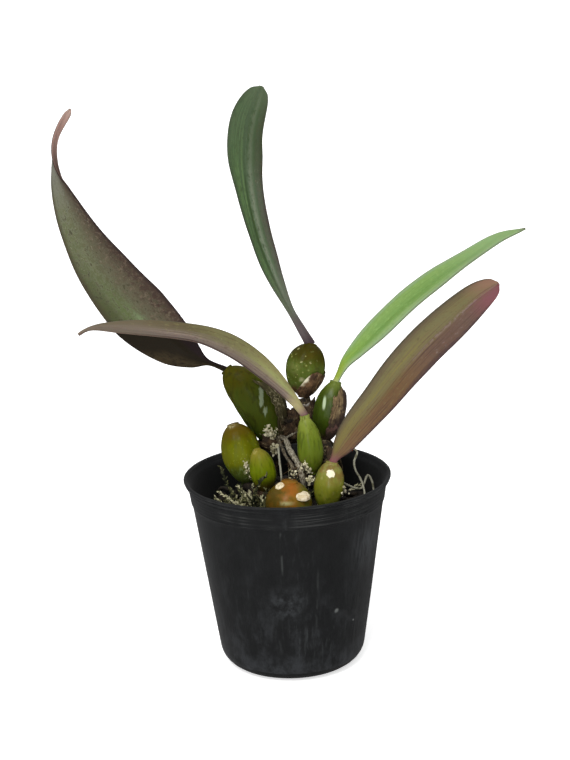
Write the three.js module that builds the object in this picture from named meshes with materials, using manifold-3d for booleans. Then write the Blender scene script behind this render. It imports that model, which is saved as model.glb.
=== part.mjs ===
// A bulbophyllum orchid in a thin black nursery pot. Millimetres, +Z up.
// The origin is the centre of the pot's flat foot, +X is the plant's right and +Y its back.
// A creeping rhizome climbs out of the pot and carries eight pseudobulbs. The five youngest
// hold one thick leaf each, and dry bracts and roots stay at the bases.
import * as THREE from "three";
import { mergeVertices } from "three/addons/utils/BufferGeometryUtils.js";
import Module from "manifold-3d";

const wasm = await Module();
wasm.setup();

// Driving dimensions
const CLEAR = 0.3; // gap between two pieces that touch
const POT = {
  height: 85,
  rimRadius: 45, // outside of the lip
  wallTopRadius: 43.3, // outside of the wall just under the lip
  wallFootRadius: 30.9, // where the wall's line meets the floor
  footCorner: 9, // outside radius of the rounded bottom edge
  wall: 1,
  lipHeight: 1.2,
  lipThick: 1.4,
  lipRound: 0.35, // how far the lip's corners are cut off
  flareHeight: 3.6, // over which the wall opens out under the lip
  collarHeight: 9.4, // the stiffer band under the lip
  collarStep: 0.35,
  stepHeight: 0.6, // over which the wall swells to the collar
  sides: 48,
  cornerSteps: 6,
};
const DRAIN = { count: 6, radius: 3.2, circleRadius: 15, sides: 12 };
const MEDIUM = {
  wallLevel: 66, // height of the bark and moss against the pot wall
  mounds: [
    { centre: [-4, -15], rise: 9, radius: 20 },
    { centre: [3, 6], rise: 13, radius: 20 },
  ],
  chipSize: 6.5,
  chipRise: 1.6,
  chipSlope: 0.5, // how much a chip falls from its middle to its edge, as a share of its rise
  rings: 9,
};

// Pseudobulbs: base and tip of the axis, how far its middle bows out, largest radius, where
// along the axis it lies, how plump the outline is (lower is plumper), radius of the tip's end
// face, and the number of furrows.
const STRAIGHT = [0, 0, 0];
const BULBS = {
  pseudobulb_left_rear: {
    base: [-6, 9.5, 96], tip: [-25, 11, 130], bow: [3.4, 0, 2.4],
    radius: 9.7, belly: 0.52, plump: 0.47, tipRadius: 2.8, furrows: 7,
  },
  pseudobulb_top: {
    base: [8, 13.5, 115.5], tip: [12.7, 16, 138.8], bow: [-1.1, 0, 0],
    radius: 8.9, belly: 0.55, plump: 0.5, tipRadius: 2.1, furrows: 8,
  },
  pseudobulb_right_rear: {
    base: [15.9, 6, 97.5], tip: [22.4, 8, 123.6], bow: [0.8, 0, 0],
    radius: 6.7, belly: 0.5, plump: 0.54, tipRadius: 2.3, furrows: 7,
  },
  pseudobulb_front_green: {
    base: [10.6, -13, 89], tip: [8.2, -12, 114.8], bow: [0.6, 0, 0],
    radius: 5.8, belly: 0.44, plump: 0.58, tipRadius: 2, furrows: 6,
  },
  pseudobulb_front_right: {
    base: [15.6, -24, 76], tip: [19, -22.4, 97], bow: STRAIGHT,
    radius: 6.6, belly: 0.54, plump: 0.44, tipRadius: 2.6, furrows: 6,
  },
  backbulb_left: {
    base: [-17.5, -5.5, 83], tip: [-22.6, -3, 109.3], bow: [0.8, 0, 0],
    radius: 8.7, belly: 0.54, plump: 0.47, tipRadius: 2.6, furrows: 8,
  },
  backbulb_left_small: {
    base: [-9.2, -17, 83], tip: [-12.5, -16.3, 102], bow: [0.6, 0, 0],
    radius: 5.7, belly: 0.47, plump: 0.5, tipRadius: 1.6, furrows: 6,
  },
  backbulb_front_stub: {
    base: [0, -28.5, 74], tip: [0.8, -28.8, 91.3], bow: STRAIGHT,
    radius: 10.2, belly: 0.46, plump: 0.5, tipRadius: 3.4, furrows: 5,
  },
};
const BULB = {
  sides: 16,
  steps: 11,
  neck: 2.2, // smallest radius at the base
  furrowDepth: 0.03, // share of the radius
};

// Leaves: the path of the blade's middle, [share of length, half width] pairs, and
// [share, direction] pairs for the way across the blade towards its right margin.
const LEAVES = {
  leaf_left_broad: {
    bulb: "pseudobulb_left_rear", color: 0x4d5a3c, fold: 0.22,
    path: [
      [-24.5, 11, 129.6], [-30.5, 11, 132.4], [-38, 11.6, 135.4], [-47, 13.7, 141.4],
      [-62.4, 18.5, 155.4], [-75.5, 22.5, 172], [-85, 21.5, 190.5], [-92, 19.5, 210.5],
      [-94, 18.4, 221], [-92.6, 17.2, 231.3], [-85.6, 16, 243.6],
    ],
    halfWidth: [
      [0, 1.3], [0.06, 1.4], [0.1, 4.8], [0.17, 9.8], [0.3, 13.3], [0.38, 12.9],
      [0.46, 11.9], [0.65, 9.5], [0.76, 7.4], [0.85, 4.8], [0.95, 2.6], [1, 1.4],
    ],
    across: [
      [0, [0.5, 0.2, 0.8]], [0.45, [0.8, 0, 0.6]], [0.6, [0.8, -0.42, 0.4]],
      [0.7, [0.7, -0.64, 0.3]], [0.76, [0.56, -0.8, 0.2]], [0.81, [0.3, -0.95, 0.04]],
      [0.86, [0, -1, 0]], [0.92, [-0.3, -0.95, 0.08]], [1, [-0.72, -0.5, 0.49]],
    ],
  },
  leaf_top: {
    bulb: "pseudobulb_top", color: 0x4f6b45, fold: 0.5,
    path: [
      [12.2, 16, 138.2], [7, 17.5, 147.5], [2.7, 19, 155.3], [-4.3, 24, 171], [-9.4, 28.3, 187.3],
      [-12.7, 32, 205], [-13.3, 33.2, 220], [-11.2, 33, 235], [-5.2, 32, 248.8],
    ],
    halfWidth: [
      [0, 2.3], [0.07, 1.9], [0.15, 1.7], [0.26, 3.5], [0.36, 5.1], [0.46, 5.9],
      [0.56, 6.1], [0.65, 6.6], [0.75, 7.7], [0.87, 7.7], [0.95, 5.9], [1, 2.9],
    ],
    across: [
      [0, [0.95, 0.2, 0.2]], [0.3, [0.85, 0.5, 0.2]], [0.45, [0.8, 0.58, 0.1]],
      [0.6, [0.9, 0.4, 0.13]], [0.72, [0.98, 0, 0.1]], [0.82, [0.95, -0.28, 0]],
      [1, [0.95, -0.2, -0.3]],
    ],
  },
  leaf_arching: {
    bulb: "pseudobulb_front_green", color: 0x77754a, fold: 0.36,
    path: [
      [8.6, -12, 114.4], [2.8, -13, 123.1], [-8.1, -16, 135.6], [-20.8, -21, 146.5],
      [-34.9, -26.4, 154], [-50, -31, 158], [-65, -35, 160.7], [-75, -36.8, 161.7],
      [-82.2, -38, 159.3],
    ],
    halfWidth: [
      [0, 1.7], [0.07, 2.5], [0.16, 4.4], [0.28, 7], [0.41, 8.5], [0.56, 8.8],
      [0.7, 7.3], [0.84, 5.1], [0.9, 3.8], [0.95, 2.3], [1, 0.3],
    ],
    across: [
      [0, [0.6, 0.6, 0.4]], [0.15, [0.47, 0.8, 0.36]], [0.33, [0.02, 0.83, 0.48]],
      [0.6, [-0.24, 0.9, 0.25]], [1, [0.1, 0.9, 0.4]],
    ],
  },
  leaf_right_young: {
    bulb: "pseudobulb_right_rear", color: 0x79b04f, fold: 0.22,
    path: [
      [21.9, 8, 122.6], [24.2, 8.6, 127], [27.1, 9.2, 131.7], [32.7, 10.3, 137.2],
      [44.2, 13.2, 147.1], [55.6, 16.6, 157.2], [68.5, 20, 165.5], [81.9, 23, 173.4],
      [95.5, 25.6, 180.8], [107, 27, 184.2],
    ],
    halfWidth: [
      [0, 1.7], [0.04, 1.7], [0.09, 2.6], [0.16, 4.2], [0.27, 5.8],
      [0.42, 6.4], [0.56, 6.2], [0.7, 5.5], [0.82, 4.3], [0.92, 2.6], [1, 0.3],
    ],
    across: [
      [0, [0.5, -0.7, -0.5]], [0.5, [0.47, -0.82, -0.33]], [0.75, [0.35, -0.88, -0.3]],
      [1, [0.5, -0.75, -0.4]],
    ],
  },
  leaf_right_front: {
    bulb: "pseudobulb_front_right", color: 0x6b5b41, fold: 0.2,
    path: [
      [18.8, -22.4, 96], [20.7, -22.7, 99.7], [23.9, -23, 104.6], [28.5, -23.6, 111.3],
      [38.5, -24.8, 123.5], [48.1, -25.7, 135.6], [58.4, -26, 146.8], [69.4, -26, 157],
      [80.6, -25, 166.5], [88.9, -24, 171.7],
    ],
    halfWidth: [
      [0, 1.7], [0.03, 1.8], [0.085, 4.2], [0.16, 5.8], [0.31, 7.1],
      [0.5, 8.1], [0.66, 8.2], [0.8, 7.6], [0.9, 6.3], [0.96, 4.6], [1, 2.2],
    ],
    across: [[0, [0.68, -0.4, -0.6]], [0.5, [0.68, -0.35, -0.64]], [1, [0.6, -0.3, -0.74]]],
  },
};
const BLADE = {
  columns: 6,
  rows: 22,
  petioleThick: 2.6,
  petioleEdgeThick: 1.3,
  midribThick: 1.5,
  marginThick: 0.75,
  foldPower: 1.2, // 1 folds sharply along the midrib, more makes a rounder channel
  petioleShare: 0.04, // of the length
  spreadShare: 0.14, // over which the petiole flattens into the blade
};

// Dry bracts: the bulb that each wraps, its arc round the axis in degrees (0 is the plant's
// right and 90 its back), its reach along the axis as shares of the length, how much of that
// reach it has where the arc starts, and how far it stands off in the middle and at its rim.
const BRACTS = {
  bract_left_rear: {
    bulb: "pseudobulb_left_rear", arc: [-50, 60], reach: [0.04, 0.8], start: 1, loose: 1.6, flare: 0.2,
  },
  bract_top: {
    bulb: "pseudobulb_top", arc: [-125, 60], reach: [0.02, 0.6], start: 0.25, loose: 0.2, flare: 0.1,
  },
  bract_right_rear: {
    bulb: "pseudobulb_right_rear", arc: [-86, 60], reach: [0.04, 0.96], start: 1, loose: 0.2, flare: 0.1,
  },
};
const BRACT = {
  thick: 0.7,
  columns: 8,
  rows: 7,
  stand: 0.15, // extra gap to the bulb
  slantShare: 0.45, // of the arc, over which the rim climbs from its start to its full reach
  tear: 0.1, // depth of the torn edge's teeth, as a share of the height
  teeth: 9, // radians of the torn edge's wave
};

// Rhizome: the runs of the creeping stem, from the oldest growth to the youngest.
const RHIZOME_RUNS = [
  {
    radius: 2,
    path: [
      [-23, -2, 76], [-18, -5.5, 82], [-13.5, -12, 81.4], [-10, -17.5, 81.2],
      [-5, -24, 75], [1, -28, 73], [8, -27, 73], [16, -24.5, 75], [20, -20, 73],
    ],
  },
  {
    radius: 1.1,
    path: [
      [1, -27.6, 73.6], [6.6, -23, 86], [5.1, -18, 93.6], [3.3, -12, 95.9], [1.6, -6, 97.7],
      [-0.8, 2, 100.4], [-4.5, 9, 98.5],
    ],
  },
  { radius: 1.6, path: [[4.3, -15, 94.6], [7.5, -14, 89.5], [12, -13, 87.8]] },
  {
    radius: 2.5,
    path: [
      [15, -24, 75], [17.5, -16, 86], [17.5, -6, 94], [15.8, 5, 97],
      [10, 8.5, 98.5], [3, 9.5, 98.3], [-4, 9.5, 97.5],
    ],
  },
  { radius: 3, path: [[8.5, 8.8, 98.3], [9.4, 11.2, 106], [8.4, 13.4, 115]] },
  { radius: 2.4, path: [[2.6, 8.5, 98], [2.2, 7, 103], [1.6, 6, 108.5]] },
];
const RHIZOME = {
  sides: 8,
  ringPitch: 5,
  ringRise: 0.2, // share of the radius
  stepLength: 2.5,
};

// Roots: radius at the start, and the path from the rhizome down into the medium.
const ROOTS = [
  {
    radius: 0.85,
    path: [
      [-4.2, 8.5, 97.8], [-3.1, 2, 99.4], [-0.2, -8, 95.7], [2.3, -17, 93.3],
      [3.1, -18.2, 89], [3.4, -16.8, 84], [3.6, -15.5, 72],
    ],
  },
  { radius: 0.6, path: [[-0.8, 2, 100.4], [1.6, 3.4, 101.3], [4.4, 4.6, 102.2], [7, 7.8, 99.2]] },
  { radius: 0.5, path: [[-3, 6, 98.6], [-3.4, 0, 97.3], [-3.1, -7, 93], [-2.5, -14, 87.8], [-2.6, -16, 72]] },
  {
    radius: 0.5,
    path: [
      [17, 0, 95.5], [25, 4, 95.5], [30.6, 4, 93], [29.1, -1, 89.8],
      [29.5, -5, 87.3], [31.8, -11, 84], [33, -15, 78], [33, -16, 64],
    ],
  },
  {
    radius: 0.5,
    path: [
      [17.5, -12, 89], [25, -14, 84], [31.5, -11, 81], [34.6, -8, 86],
      [36.2, -8.2, 83.5], [37, -9, 77], [35.5, -9, 62],
    ],
  },
  { radius: 0.5, path: [[-20, -4, 79.5], [-24, -9, 77.5], [-26.5, -14, 73], [-27.5, -17, 64]] },
  { radius: 0.5, path: [[-11, -17, 81], [-14.5, -21.5, 79], [-17, -25, 75], [-18, -27, 64]] },
  { radius: 0.9, path: [[-4, 10, 97], [-9, 17, 93], [-13, 21, 82], [-14, 22, 64]] },
  { radius: 0.8, path: [[1, 9.5, 98], [1.5, 18, 93], [3, 24, 80], [3, 25, 62]] },
  { radius: 0.8, path: [[14, 6, 97.5], [20, 14, 94], [24, 19, 82], [25, 20, 62]] },
  { radius: 0.7, path: [[9, 11.5, 107], [4.5, 18, 104], [-3, 25, 92], [-5, 28, 62]] },
  { radius: 0.8, path: [[-22, -2.5, 77.5], [-28, 2, 79], [-31.5, 6, 74], [-32, 7, 63]] },
];
const ROOT = { sides: 5, steps: 12, taper: 0.25 };

const COLORS = {
  pot: 0x1c1d1e,
  medium: 0x2a211a,
  rhizome: 0x6a5443,
  bulb: 0x4f6424,
  backbulb_left: 0x6f7022,
  backbulb_left_small: 0x6f7022,
  backbulb_front_stub: 0xa8651e,
  bract: 0x7b6248,
};

const vec = (p) => new THREE.Vector3(...p);
const curveThrough = (points) => new THREE.CatmullRomCurve3(points.map(vec), false, "centripetal");
const { degToRad, lerp, smoothstep } = THREE.MathUtils;

// A smooth curve through [share, values] pairs, where values is a list of numbers.
function profileAt(pairs, share) {
  const last = pairs.length - 1;
  const next = Math.max(1, pairs.findIndex(([at]) => at >= share));
  const [[beforeAt, before], [firstAt, first], [secondAt, second], [beyondAt, beyond]] = [-2, -1, 0, 1].map(
    (step) => pairs[THREE.MathUtils.clamp(next + step, 0, last)],
  );
  const span = secondAt - firstAt;
  const way = (share - firstAt) / span;
  return first.map((value, i) => {
    const leaving = (second[i] - before[i]) * (span / (secondAt - beforeAt));
    const arriving = (beyond[i] - value) * (span / (beyondAt - firstAt));
    const turnBack = 3 * (second[i] - value) - 2 * leaving - arriving;
    const settle = 2 * (value - second[i]) + leaving + arriving;
    return value + leaving * way + turnBack * way ** 2 + settle * way ** 3;
  });
}

// Turns a closed triangle geometry into a solid that can be cut and joined.
function solidOf(geometry) {
  const bare = new THREE.BufferGeometry();
  bare.setAttribute("position", geometry.getAttribute("position"));
  bare.setIndex(geometry.getIndex());
  const merged = mergeVertices(bare, 1e-4);
  return new wasm.Manifold(
    new wasm.Mesh({
      numProp: 3,
      vertProperties: Float32Array.from(merged.attributes.position.array),
      triVerts: Uint32Array.from(merged.index.array),
    }),
  );
}

// The largest body of a solid as a three.js geometry. Loose scraps left by a cut are dropped.
function geometryOf(solid) {
  const bodies = solid.decompose().sort((a, b) => b.volume() - a.volume());
  const mesh = bodies[0].getMesh();
  const geometry = new THREE.BufferGeometry();
  geometry.setAttribute("position", new THREE.BufferAttribute(mesh.vertProperties, 3));
  geometry.setIndex(new THREE.BufferAttribute(mesh.triVerts, 1));
  geometry.computeVertexNormals();
  return geometry;
}

// A closed tube through rings { centre, right, back, share }, with a pole at each end.
function closedTube(rings, sides, radiusAt) {
  const positions = [...rings[0].centre];
  const index = [];
  for (const { centre, right, back, share } of rings) {
    for (let j = 0; j < sides; j++) {
      const angle = (j / sides) * 2 * Math.PI;
      const radius = radiusAt(share, angle);
      const point = centre.clone().addScaledVector(right, Math.cos(angle) * radius);
      positions.push(...point.addScaledVector(back, Math.sin(angle) * radius));
    }
  }
  positions.push(...rings.at(-1).centre);
  const at = (i, j) => 1 + i * sides + (j % sides);
  const end = positions.length / 3 - 1;
  const last = rings.length - 1;
  for (let j = 0; j < sides; j++) {
    index.push(0, at(0, j + 1), at(0, j));
    index.push(end, at(last, j), at(last, j + 1));
    for (let i = 0; i < last; i++) {
      index.push(at(i, j), at(i, j + 1), at(i + 1, j + 1));
      index.push(at(i, j), at(i + 1, j + 1), at(i + 1, j));
    }
  }
  return geometryFrom(positions, index);
}

// Rings at even steps along a curve, turned as little as possible from one to the next.
function ringsAlong(curve, steps) {
  const { normals, binormals } = curve.computeFrenetFrames(steps, false);
  return normals.map((right, i) => {
    const share = i / steps;
    return { centre: curve.getPointAt(share), right, back: binormals[i], share };
  });
}

function geometryFrom(positions, index) {
  const geometry = new THREE.BufferGeometry();
  geometry.setAttribute("position", new THREE.Float32BufferAttribute(positions, 3));
  geometry.setIndex(index);
  return geometry;
}

// A closed sheet: surface(u, v) gives the two faces' points, and both are split alike.
function sheet(surface, columns, rows) {
  const positions = [];
  const index = [];
  for (let i = 0; i <= rows; i++) {
    for (let j = 0; j <= columns; j++) {
      const { upper, lower } = surface(j / columns, i / rows);
      positions.push(...upper, ...lower);
    }
  }
  const up = (i, j) => 2 * (i * (columns + 1) + j);
  const low = (i, j) => up(i, j) + 1;
  const quad = (a, b, c, d) => index.push(a, b, c, a, c, d);
  for (let i = 0; i < rows; i++) {
    for (let j = 0; j < columns; j++) {
      quad(up(i, j), up(i, j + 1), up(i + 1, j + 1), up(i + 1, j));
      index.push(low(i, j), low(i + 1, j + 1), low(i, j + 1));
      index.push(low(i, j), low(i + 1, j), low(i + 1, j + 1));
    }
    quad(low(i, 0), up(i, 0), up(i + 1, 0), low(i + 1, 0));
    quad(up(i, columns), low(i, columns), low(i + 1, columns), up(i + 1, columns));
  }
  for (let j = 0; j < columns; j++) {
    quad(low(0, j), low(0, j + 1), up(0, j + 1), up(0, j));
    quad(up(rows, j), up(rows, j + 1), low(rows, j + 1), low(rows, j));
  }
  return geometryFrom(positions, index);
}

// Pot: wall, rounded bottom edge, collar and rolled lip, turned about Z
const wallAngle = Math.atan2(POT.height, POT.wallTopRadius - POT.wallFootRadius);
const wallRadiusAt = (z) => POT.wallFootRadius + z / Math.tan(wallAngle);

// The rounded bottom edge of the wall's outline moved inwards by an inset.
function cornerArc(inset, steps) {
  const radius = POT.footCorner - inset;
  const centreX = POT.wallFootRadius - POT.footCorner * Math.tan(wallAngle / 2);
  return Array.from({ length: steps + 1 }, (_, i) => {
    const angle = -Math.PI / 2 + (wallAngle * i) / steps;
    return [centreX + radius * Math.cos(angle), POT.footCorner + radius * Math.sin(angle)];
  });
}

// Turns an outline of [radius, height] points about the pot's axis.
function turned(outline) {
  const points = outline.map((point) => new THREE.Vector2(...point));
  return new THREE.LatheGeometry(points, POT.sides).rotateX(Math.PI / 2);
}

function potSolid() {
  const { height, rimRadius, wall, lipHeight, lipThick, lipRound, collarStep, stepHeight } = POT;
  const lipFoot = height - lipHeight;
  const flareFoot = lipFoot - POT.flareHeight;
  const flareMiddle = (flareFoot + lipFoot) / 2;
  const collarFoot = lipFoot - POT.collarHeight;
  const flare = rimRadius - lipRound - collarStep - wallRadiusAt(lipFoot);
  const flaredAt = (z, offset) => [wallRadiusAt(z) + offset + flare * smoothstep(z, flareFoot, lipFoot), z];
  const outline = [
    [0, 0],
    ...cornerArc(0, POT.cornerSteps),
    [wallRadiusAt(collarFoot - stepHeight), collarFoot - stepHeight],
    ...[collarFoot, flareFoot, flareMiddle, lipFoot].map((z) => flaredAt(z, collarStep)),
    [rimRadius, lipFoot + lipRound],
    [rimRadius, height - lipRound],
    [rimRadius - lipRound, height],
    [rimRadius - lipThick + lipRound, height],
    [rimRadius - lipThick, height - lipRound],
    ...[lipFoot, flareMiddle, flareFoot, collarFoot].map((z) => flaredAt(z, -wall)),
    ...cornerArc(wall, POT.cornerSteps).reverse(),
    [0, wall],
  ];
  let pot = solidOf(turned(outline));
  for (let i = 0; i < DRAIN.count; i++) {
    const angle = ((i + 0.5) / DRAIN.count) * 2 * Math.PI;
    const drill = new THREE.CylinderGeometry(DRAIN.radius, DRAIN.radius, 4 * wall, DRAIN.sides);
    drill.rotateX(Math.PI / 2);
    drill.translate(DRAIN.circleRadius * Math.cos(angle), DRAIN.circleRadius * Math.sin(angle), 0);
    pot = pot.subtract(solidOf(drill));
  }
  return pot;
}

// Potting medium: bark chips and moss, highest in a mound under the back bulbs

// A fixed draw between 0 and 1 for a cell of the grid that the chips are scattered on.
function draw(i, j) {
  const scattered = Math.sin(i * 127.1 + j * 311.7) * 43758.5453;
  return scattered - Math.floor(scattered);
}

// Height of the chip whose middle is nearest, so that each chip is a tilted facet.
function chipRelief(x, y) {
  const [column, row] = [x / MEDIUM.chipSize, y / MEDIUM.chipSize];
  let nearest = { gap: Infinity, rise: 0 };
  for (let i = Math.floor(column) - 1; i <= Math.floor(column) + 1; i++) {
    for (let j = Math.floor(row) - 1; j <= Math.floor(row) + 1; j++) {
      const gap = Math.hypot(column - i - draw(i, j), row - j - draw(j + 7, i));
      if (gap < nearest.gap) nearest = { gap, rise: draw(i + 3, j + 5) };
    }
  }
  return MEDIUM.chipRise * nearest.rise * (1 - MEDIUM.chipSlope * nearest.gap);
}

function mediumHeight(x, y) {
  const rises = MEDIUM.mounds.map(({ centre: [cx, cy], rise, radius }) => {
    return rise * Math.exp(-(Math.hypot(x - cx, y - cy) ** 2) / radius ** 2);
  });
  return MEDIUM.wallLevel + Math.max(...rises) + chipRelief(x, y);
}

function mediumSolid() {
  const { wallLevel, rings } = MEDIUM;
  const inset = POT.wall + CLEAR;
  const topRadius = wallRadiusAt(wallLevel) - inset;
  const outline = [[0, inset], ...cornerArc(inset, POT.cornerSteps), [topRadius, wallLevel]];
  for (let i = rings - 1; i >= 0; i--) {
    outline.push([(topRadius * i) / rings, wallLevel]);
  }
  const geometry = turned(outline);
  const points = geometry.attributes.position;
  const edge = topRadius * (1 - 0.5 / rings);
  for (let i = 0; i < points.count; i++) {
    const [x, y] = [points.getX(i), points.getY(i)];
    const onTop = points.getZ(i) > wallLevel / 2 && Math.hypot(x, y) < edge;
    if (onTop) points.setZ(i, mediumHeight(x, y));
  }
  return solidOf(geometry);
}

// Pseudobulbs
function bulbRadius(bulb, share, angle) {
  const bent = share ** (Math.log(0.5) / Math.log(bulb.belly));
  const body = bulb.radius * Math.max(0, Math.sin(Math.PI * bent)) ** bulb.plump;
  const furrow = 1 - BULB.furrowDepth * (1 + Math.cos(bulb.furrows * angle)) * Math.sin(Math.PI * share);
  const least = share < bulb.belly ? BULB.neck : bulb.tipRadius;
  return Math.max(body * furrow, least);
}

// A ring round the bulb's axis, whose right is as near the plant's right as it can be.
function bulbRing(bulb, share) {
  const middle = vec(bulb.base).lerp(vec(bulb.tip), 0.5).add(vec(bulb.bow));
  const axis = new THREE.CatmullRomCurve3([vec(bulb.base), middle, vec(bulb.tip)]);
  const along = axis.getTangentAt(share);
  const right = new THREE.Vector3(1, 0, 0).addScaledVector(along, -along.x).normalize();
  return { centre: axis.getPointAt(share), right, back: along.clone().cross(right), along, share };
}

function bulbSolid(name, extra = 0) {
  const bulb = BULBS[name];
  const rings = [];
  for (let i = 0; i <= BULB.steps; i++) {
    // Rings crowd towards both ends, where the outline turns fastest.
    rings.push(bulbRing(bulb, 0.5 - 0.5 * Math.cos((Math.PI * i) / BULB.steps)));
  }
  rings[0].centre.addScaledVector(rings[0].along, -extra);
  rings.at(-1).centre.addScaledVector(rings.at(-1).along, extra);
  return solidOf(closedTube(rings, BULB.sides, (t, angle) => bulbRadius(bulb, t, angle) + extra));
}

// Rhizome with its roots, as one grown piece
function runSolid({ radius, path }, extra) {
  const { sides, ringPitch, ringRise, stepLength } = RHIZOME;
  const curve = curveThrough(path);
  const length = curve.getLength();
  const rings = ringsAlong(curve, Math.round(length / stepLength));
  const turns = (2 * Math.PI * length) / ringPitch;
  const swelling = (share) => 1 + ringRise * Math.max(0, Math.cos(turns * share)) ** 2;
  return solidOf(closedTube(rings, sides, (share) => radius * swelling(share) + extra));
}

function rootSolid({ radius, path }, extra) {
  const rings = ringsAlong(curveThrough(path), ROOT.steps);
  return solidOf(closedTube(rings, ROOT.sides, (share) => radius * (1 - ROOT.taper * share) + extra));
}

function rhizomeSolid(extra = 0) {
  const runs = RHIZOME_RUNS.map((run) => runSolid(run, extra));
  const roots = ROOTS.map((root) => rootSolid(root, extra));
  return [...runs, ...roots].reduce((whole, piece) => whole.add(piece));
}

// Leaves: a folded blade that narrows to a petiole
function leafSurface(leaf) {
  const curve = curveThrough(leaf.path);
  const widths = leaf.halfWidth.map(([at, half]) => [at, [half]]);
  const ways = leaf.across.map(([at, way]) => [at, vec(way).normalize().toArray()]);
  return (u, share) => {
    const along = curve.getTangentAt(share);
    const across = vec(profileAt(ways, share));
    across.addScaledVector(along, -across.dot(along)).normalize();
    const up = across.clone().cross(along);
    const [half] = profileAt(widths, share);
    const side = 2 * u - 1;
    const flat = smoothstep(share, BLADE.petioleShare, BLADE.petioleShare + BLADE.spreadShare);
    const thickness = lerp(
      lerp(BLADE.petioleThick, BLADE.midribThick, flat),
      lerp(BLADE.petioleEdgeThick, BLADE.marginThick, flat),
      Math.abs(side),
    );
    const lift = leaf.fold * half * flat * (Math.abs(side) ** BLADE.foldPower - 0.5);
    const middle = curve.getPointAt(share).addScaledVector(across, side * half);
    const upper = middle.clone().addScaledVector(up, lift + thickness / 2);
    const lower = middle.clone().addScaledVector(up, lift - thickness / 2);
    return { upper, lower };
  };
}

const leafSolid = (leaf) => solidOf(sheet(leafSurface(leaf), BLADE.columns, BLADE.rows));

// Dry bracts: torn sheets that stand a little off the bulb
function bractSolid(bract) {
  const bulb = BULBS[bract.bulb];
  const surface = (u, v) => {
    const angle = degToRad(lerp(...bract.arc, u));
    const torn = v * (1 - BRACT.tear * (1 + Math.sin(BRACT.teeth * u)));
    const full = lerp(bract.start, 1, smoothstep(u, 0, BRACT.slantShare));
    const ring = bulbRing(bulb, lerp(...bract.reach, torn * full));
    const out = ring.right.multiplyScalar(Math.cos(angle)).addScaledVector(ring.back, Math.sin(angle));
    const off = CLEAR + BRACT.stand + bract.flare * v ** 2 + bract.loose * Math.sin(Math.PI * u);
    const inner = bulbRadius(bulb, ring.share, angle) + off;
    const lower = ring.centre.clone().addScaledVector(out, inner);
    const upper = ring.centre.clone().addScaledVector(out, inner + BRACT.thick);
    return { upper, lower };
  };
  return solidOf(sheet(surface, BRACT.columns, BRACT.rows));
}

// Assembly. Each piece is cut back from the pieces that it touches.
const plant = new THREE.Group();

function addNode(name, solid, color, roughness) {
  const material = new THREE.MeshStandardMaterial({ color, roughness, metalness: 0 });
  const mesh = new THREE.Mesh(geometryOf(solid), material);
  mesh.name = name;
  plant.add(mesh);
}

const rhizomeRoom = rhizomeSolid(CLEAR);
const bulbRooms = Object.fromEntries(Object.keys(BULBS).map((name) => [name, bulbSolid(name, CLEAR)]));
const stemRoom = Object.values(bulbRooms).reduce((whole, room) => whole.add(room), rhizomeRoom);

addNode("pot", potSolid(), COLORS.pot, 0.55);
addNode("potting_medium", mediumSolid().subtract(stemRoom), COLORS.medium, 0.95);
addNode("rhizome", rhizomeSolid(), COLORS.rhizome, 0.8);
for (const name of Object.keys(BULBS)) {
  addNode(name, bulbSolid(name).subtract(rhizomeRoom), COLORS[name] ?? COLORS.bulb, 0.35);
}
for (const [name, leaf] of Object.entries(LEAVES)) {
  addNode(name, leafSolid(leaf).subtract(bulbRooms[leaf.bulb]), leaf.color, 0.45);
}
for (const [name, bract] of Object.entries(BRACTS)) {
  addNode(name, bractSolid(bract).subtract(stemRoom), COLORS.bract, 0.85);
}

export default plant;
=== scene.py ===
"""A bulbophyllum orchid in a thin black nursery pot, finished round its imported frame.

Lengths are written in millimetres, and become metres once, where a mesh is made. +X is the
plant's right, +Y its back and +Z up, with the origin at the centre of the pot's foot.
"""
import math
import random
from bisect import bisect_right
from types import SimpleNamespace

import bmesh
import bpy
from mathutils import Matrix, Vector, noise
from mathutils.bvhtree import BVHTree


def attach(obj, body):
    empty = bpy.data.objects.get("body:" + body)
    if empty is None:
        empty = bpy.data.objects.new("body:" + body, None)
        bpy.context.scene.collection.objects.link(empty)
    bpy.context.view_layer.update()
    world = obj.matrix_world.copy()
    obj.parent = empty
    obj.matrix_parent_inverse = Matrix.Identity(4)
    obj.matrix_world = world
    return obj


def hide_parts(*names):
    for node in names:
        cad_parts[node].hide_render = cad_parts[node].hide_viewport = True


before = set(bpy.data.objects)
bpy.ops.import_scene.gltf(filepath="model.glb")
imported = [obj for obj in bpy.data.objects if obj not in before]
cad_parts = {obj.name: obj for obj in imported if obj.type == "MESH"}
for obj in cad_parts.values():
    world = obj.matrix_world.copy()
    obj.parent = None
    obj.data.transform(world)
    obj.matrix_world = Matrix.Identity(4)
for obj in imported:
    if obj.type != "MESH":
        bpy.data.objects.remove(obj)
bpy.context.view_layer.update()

MM = 0.001
UP = Vector((0, 0, 1))
GLANCE_TILT = math.radians(15)
GLANCE = Vector((0, math.cos(GLANCE_TILT), -math.sin(GLANCE_TILT)))  # back and a little down
GLANCE_START = 60  # how far before a place a look at it begins

noise.seed_set(1)  # without a seed, noise_vector follows the clock


# ---------------------------------------------------------------------------------------------
# Numbers and curves


def lerp(low, high, share):
    return low + (high - low) * share


def rise(value, low, high):
    """0 at low, 1 at high, smooth between."""
    share = min(1, max(0, (value - low) / (high - low)))
    return share * share * (3 - 2 * share)


def hump(value, centre, width):
    """1 at the centre, falling away over the width on both sides."""
    return math.exp(-(((value - centre) / width) ** 2))


def hermite(start, leaving, end, arriving, share):
    return (
        start
        + leaving * share
        + (end * 3 - start * 3 - leaving * 2 - arriving) * share**2
        + (start * 2 - end * 2 + leaving + arriving) * share**3
    )


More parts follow.
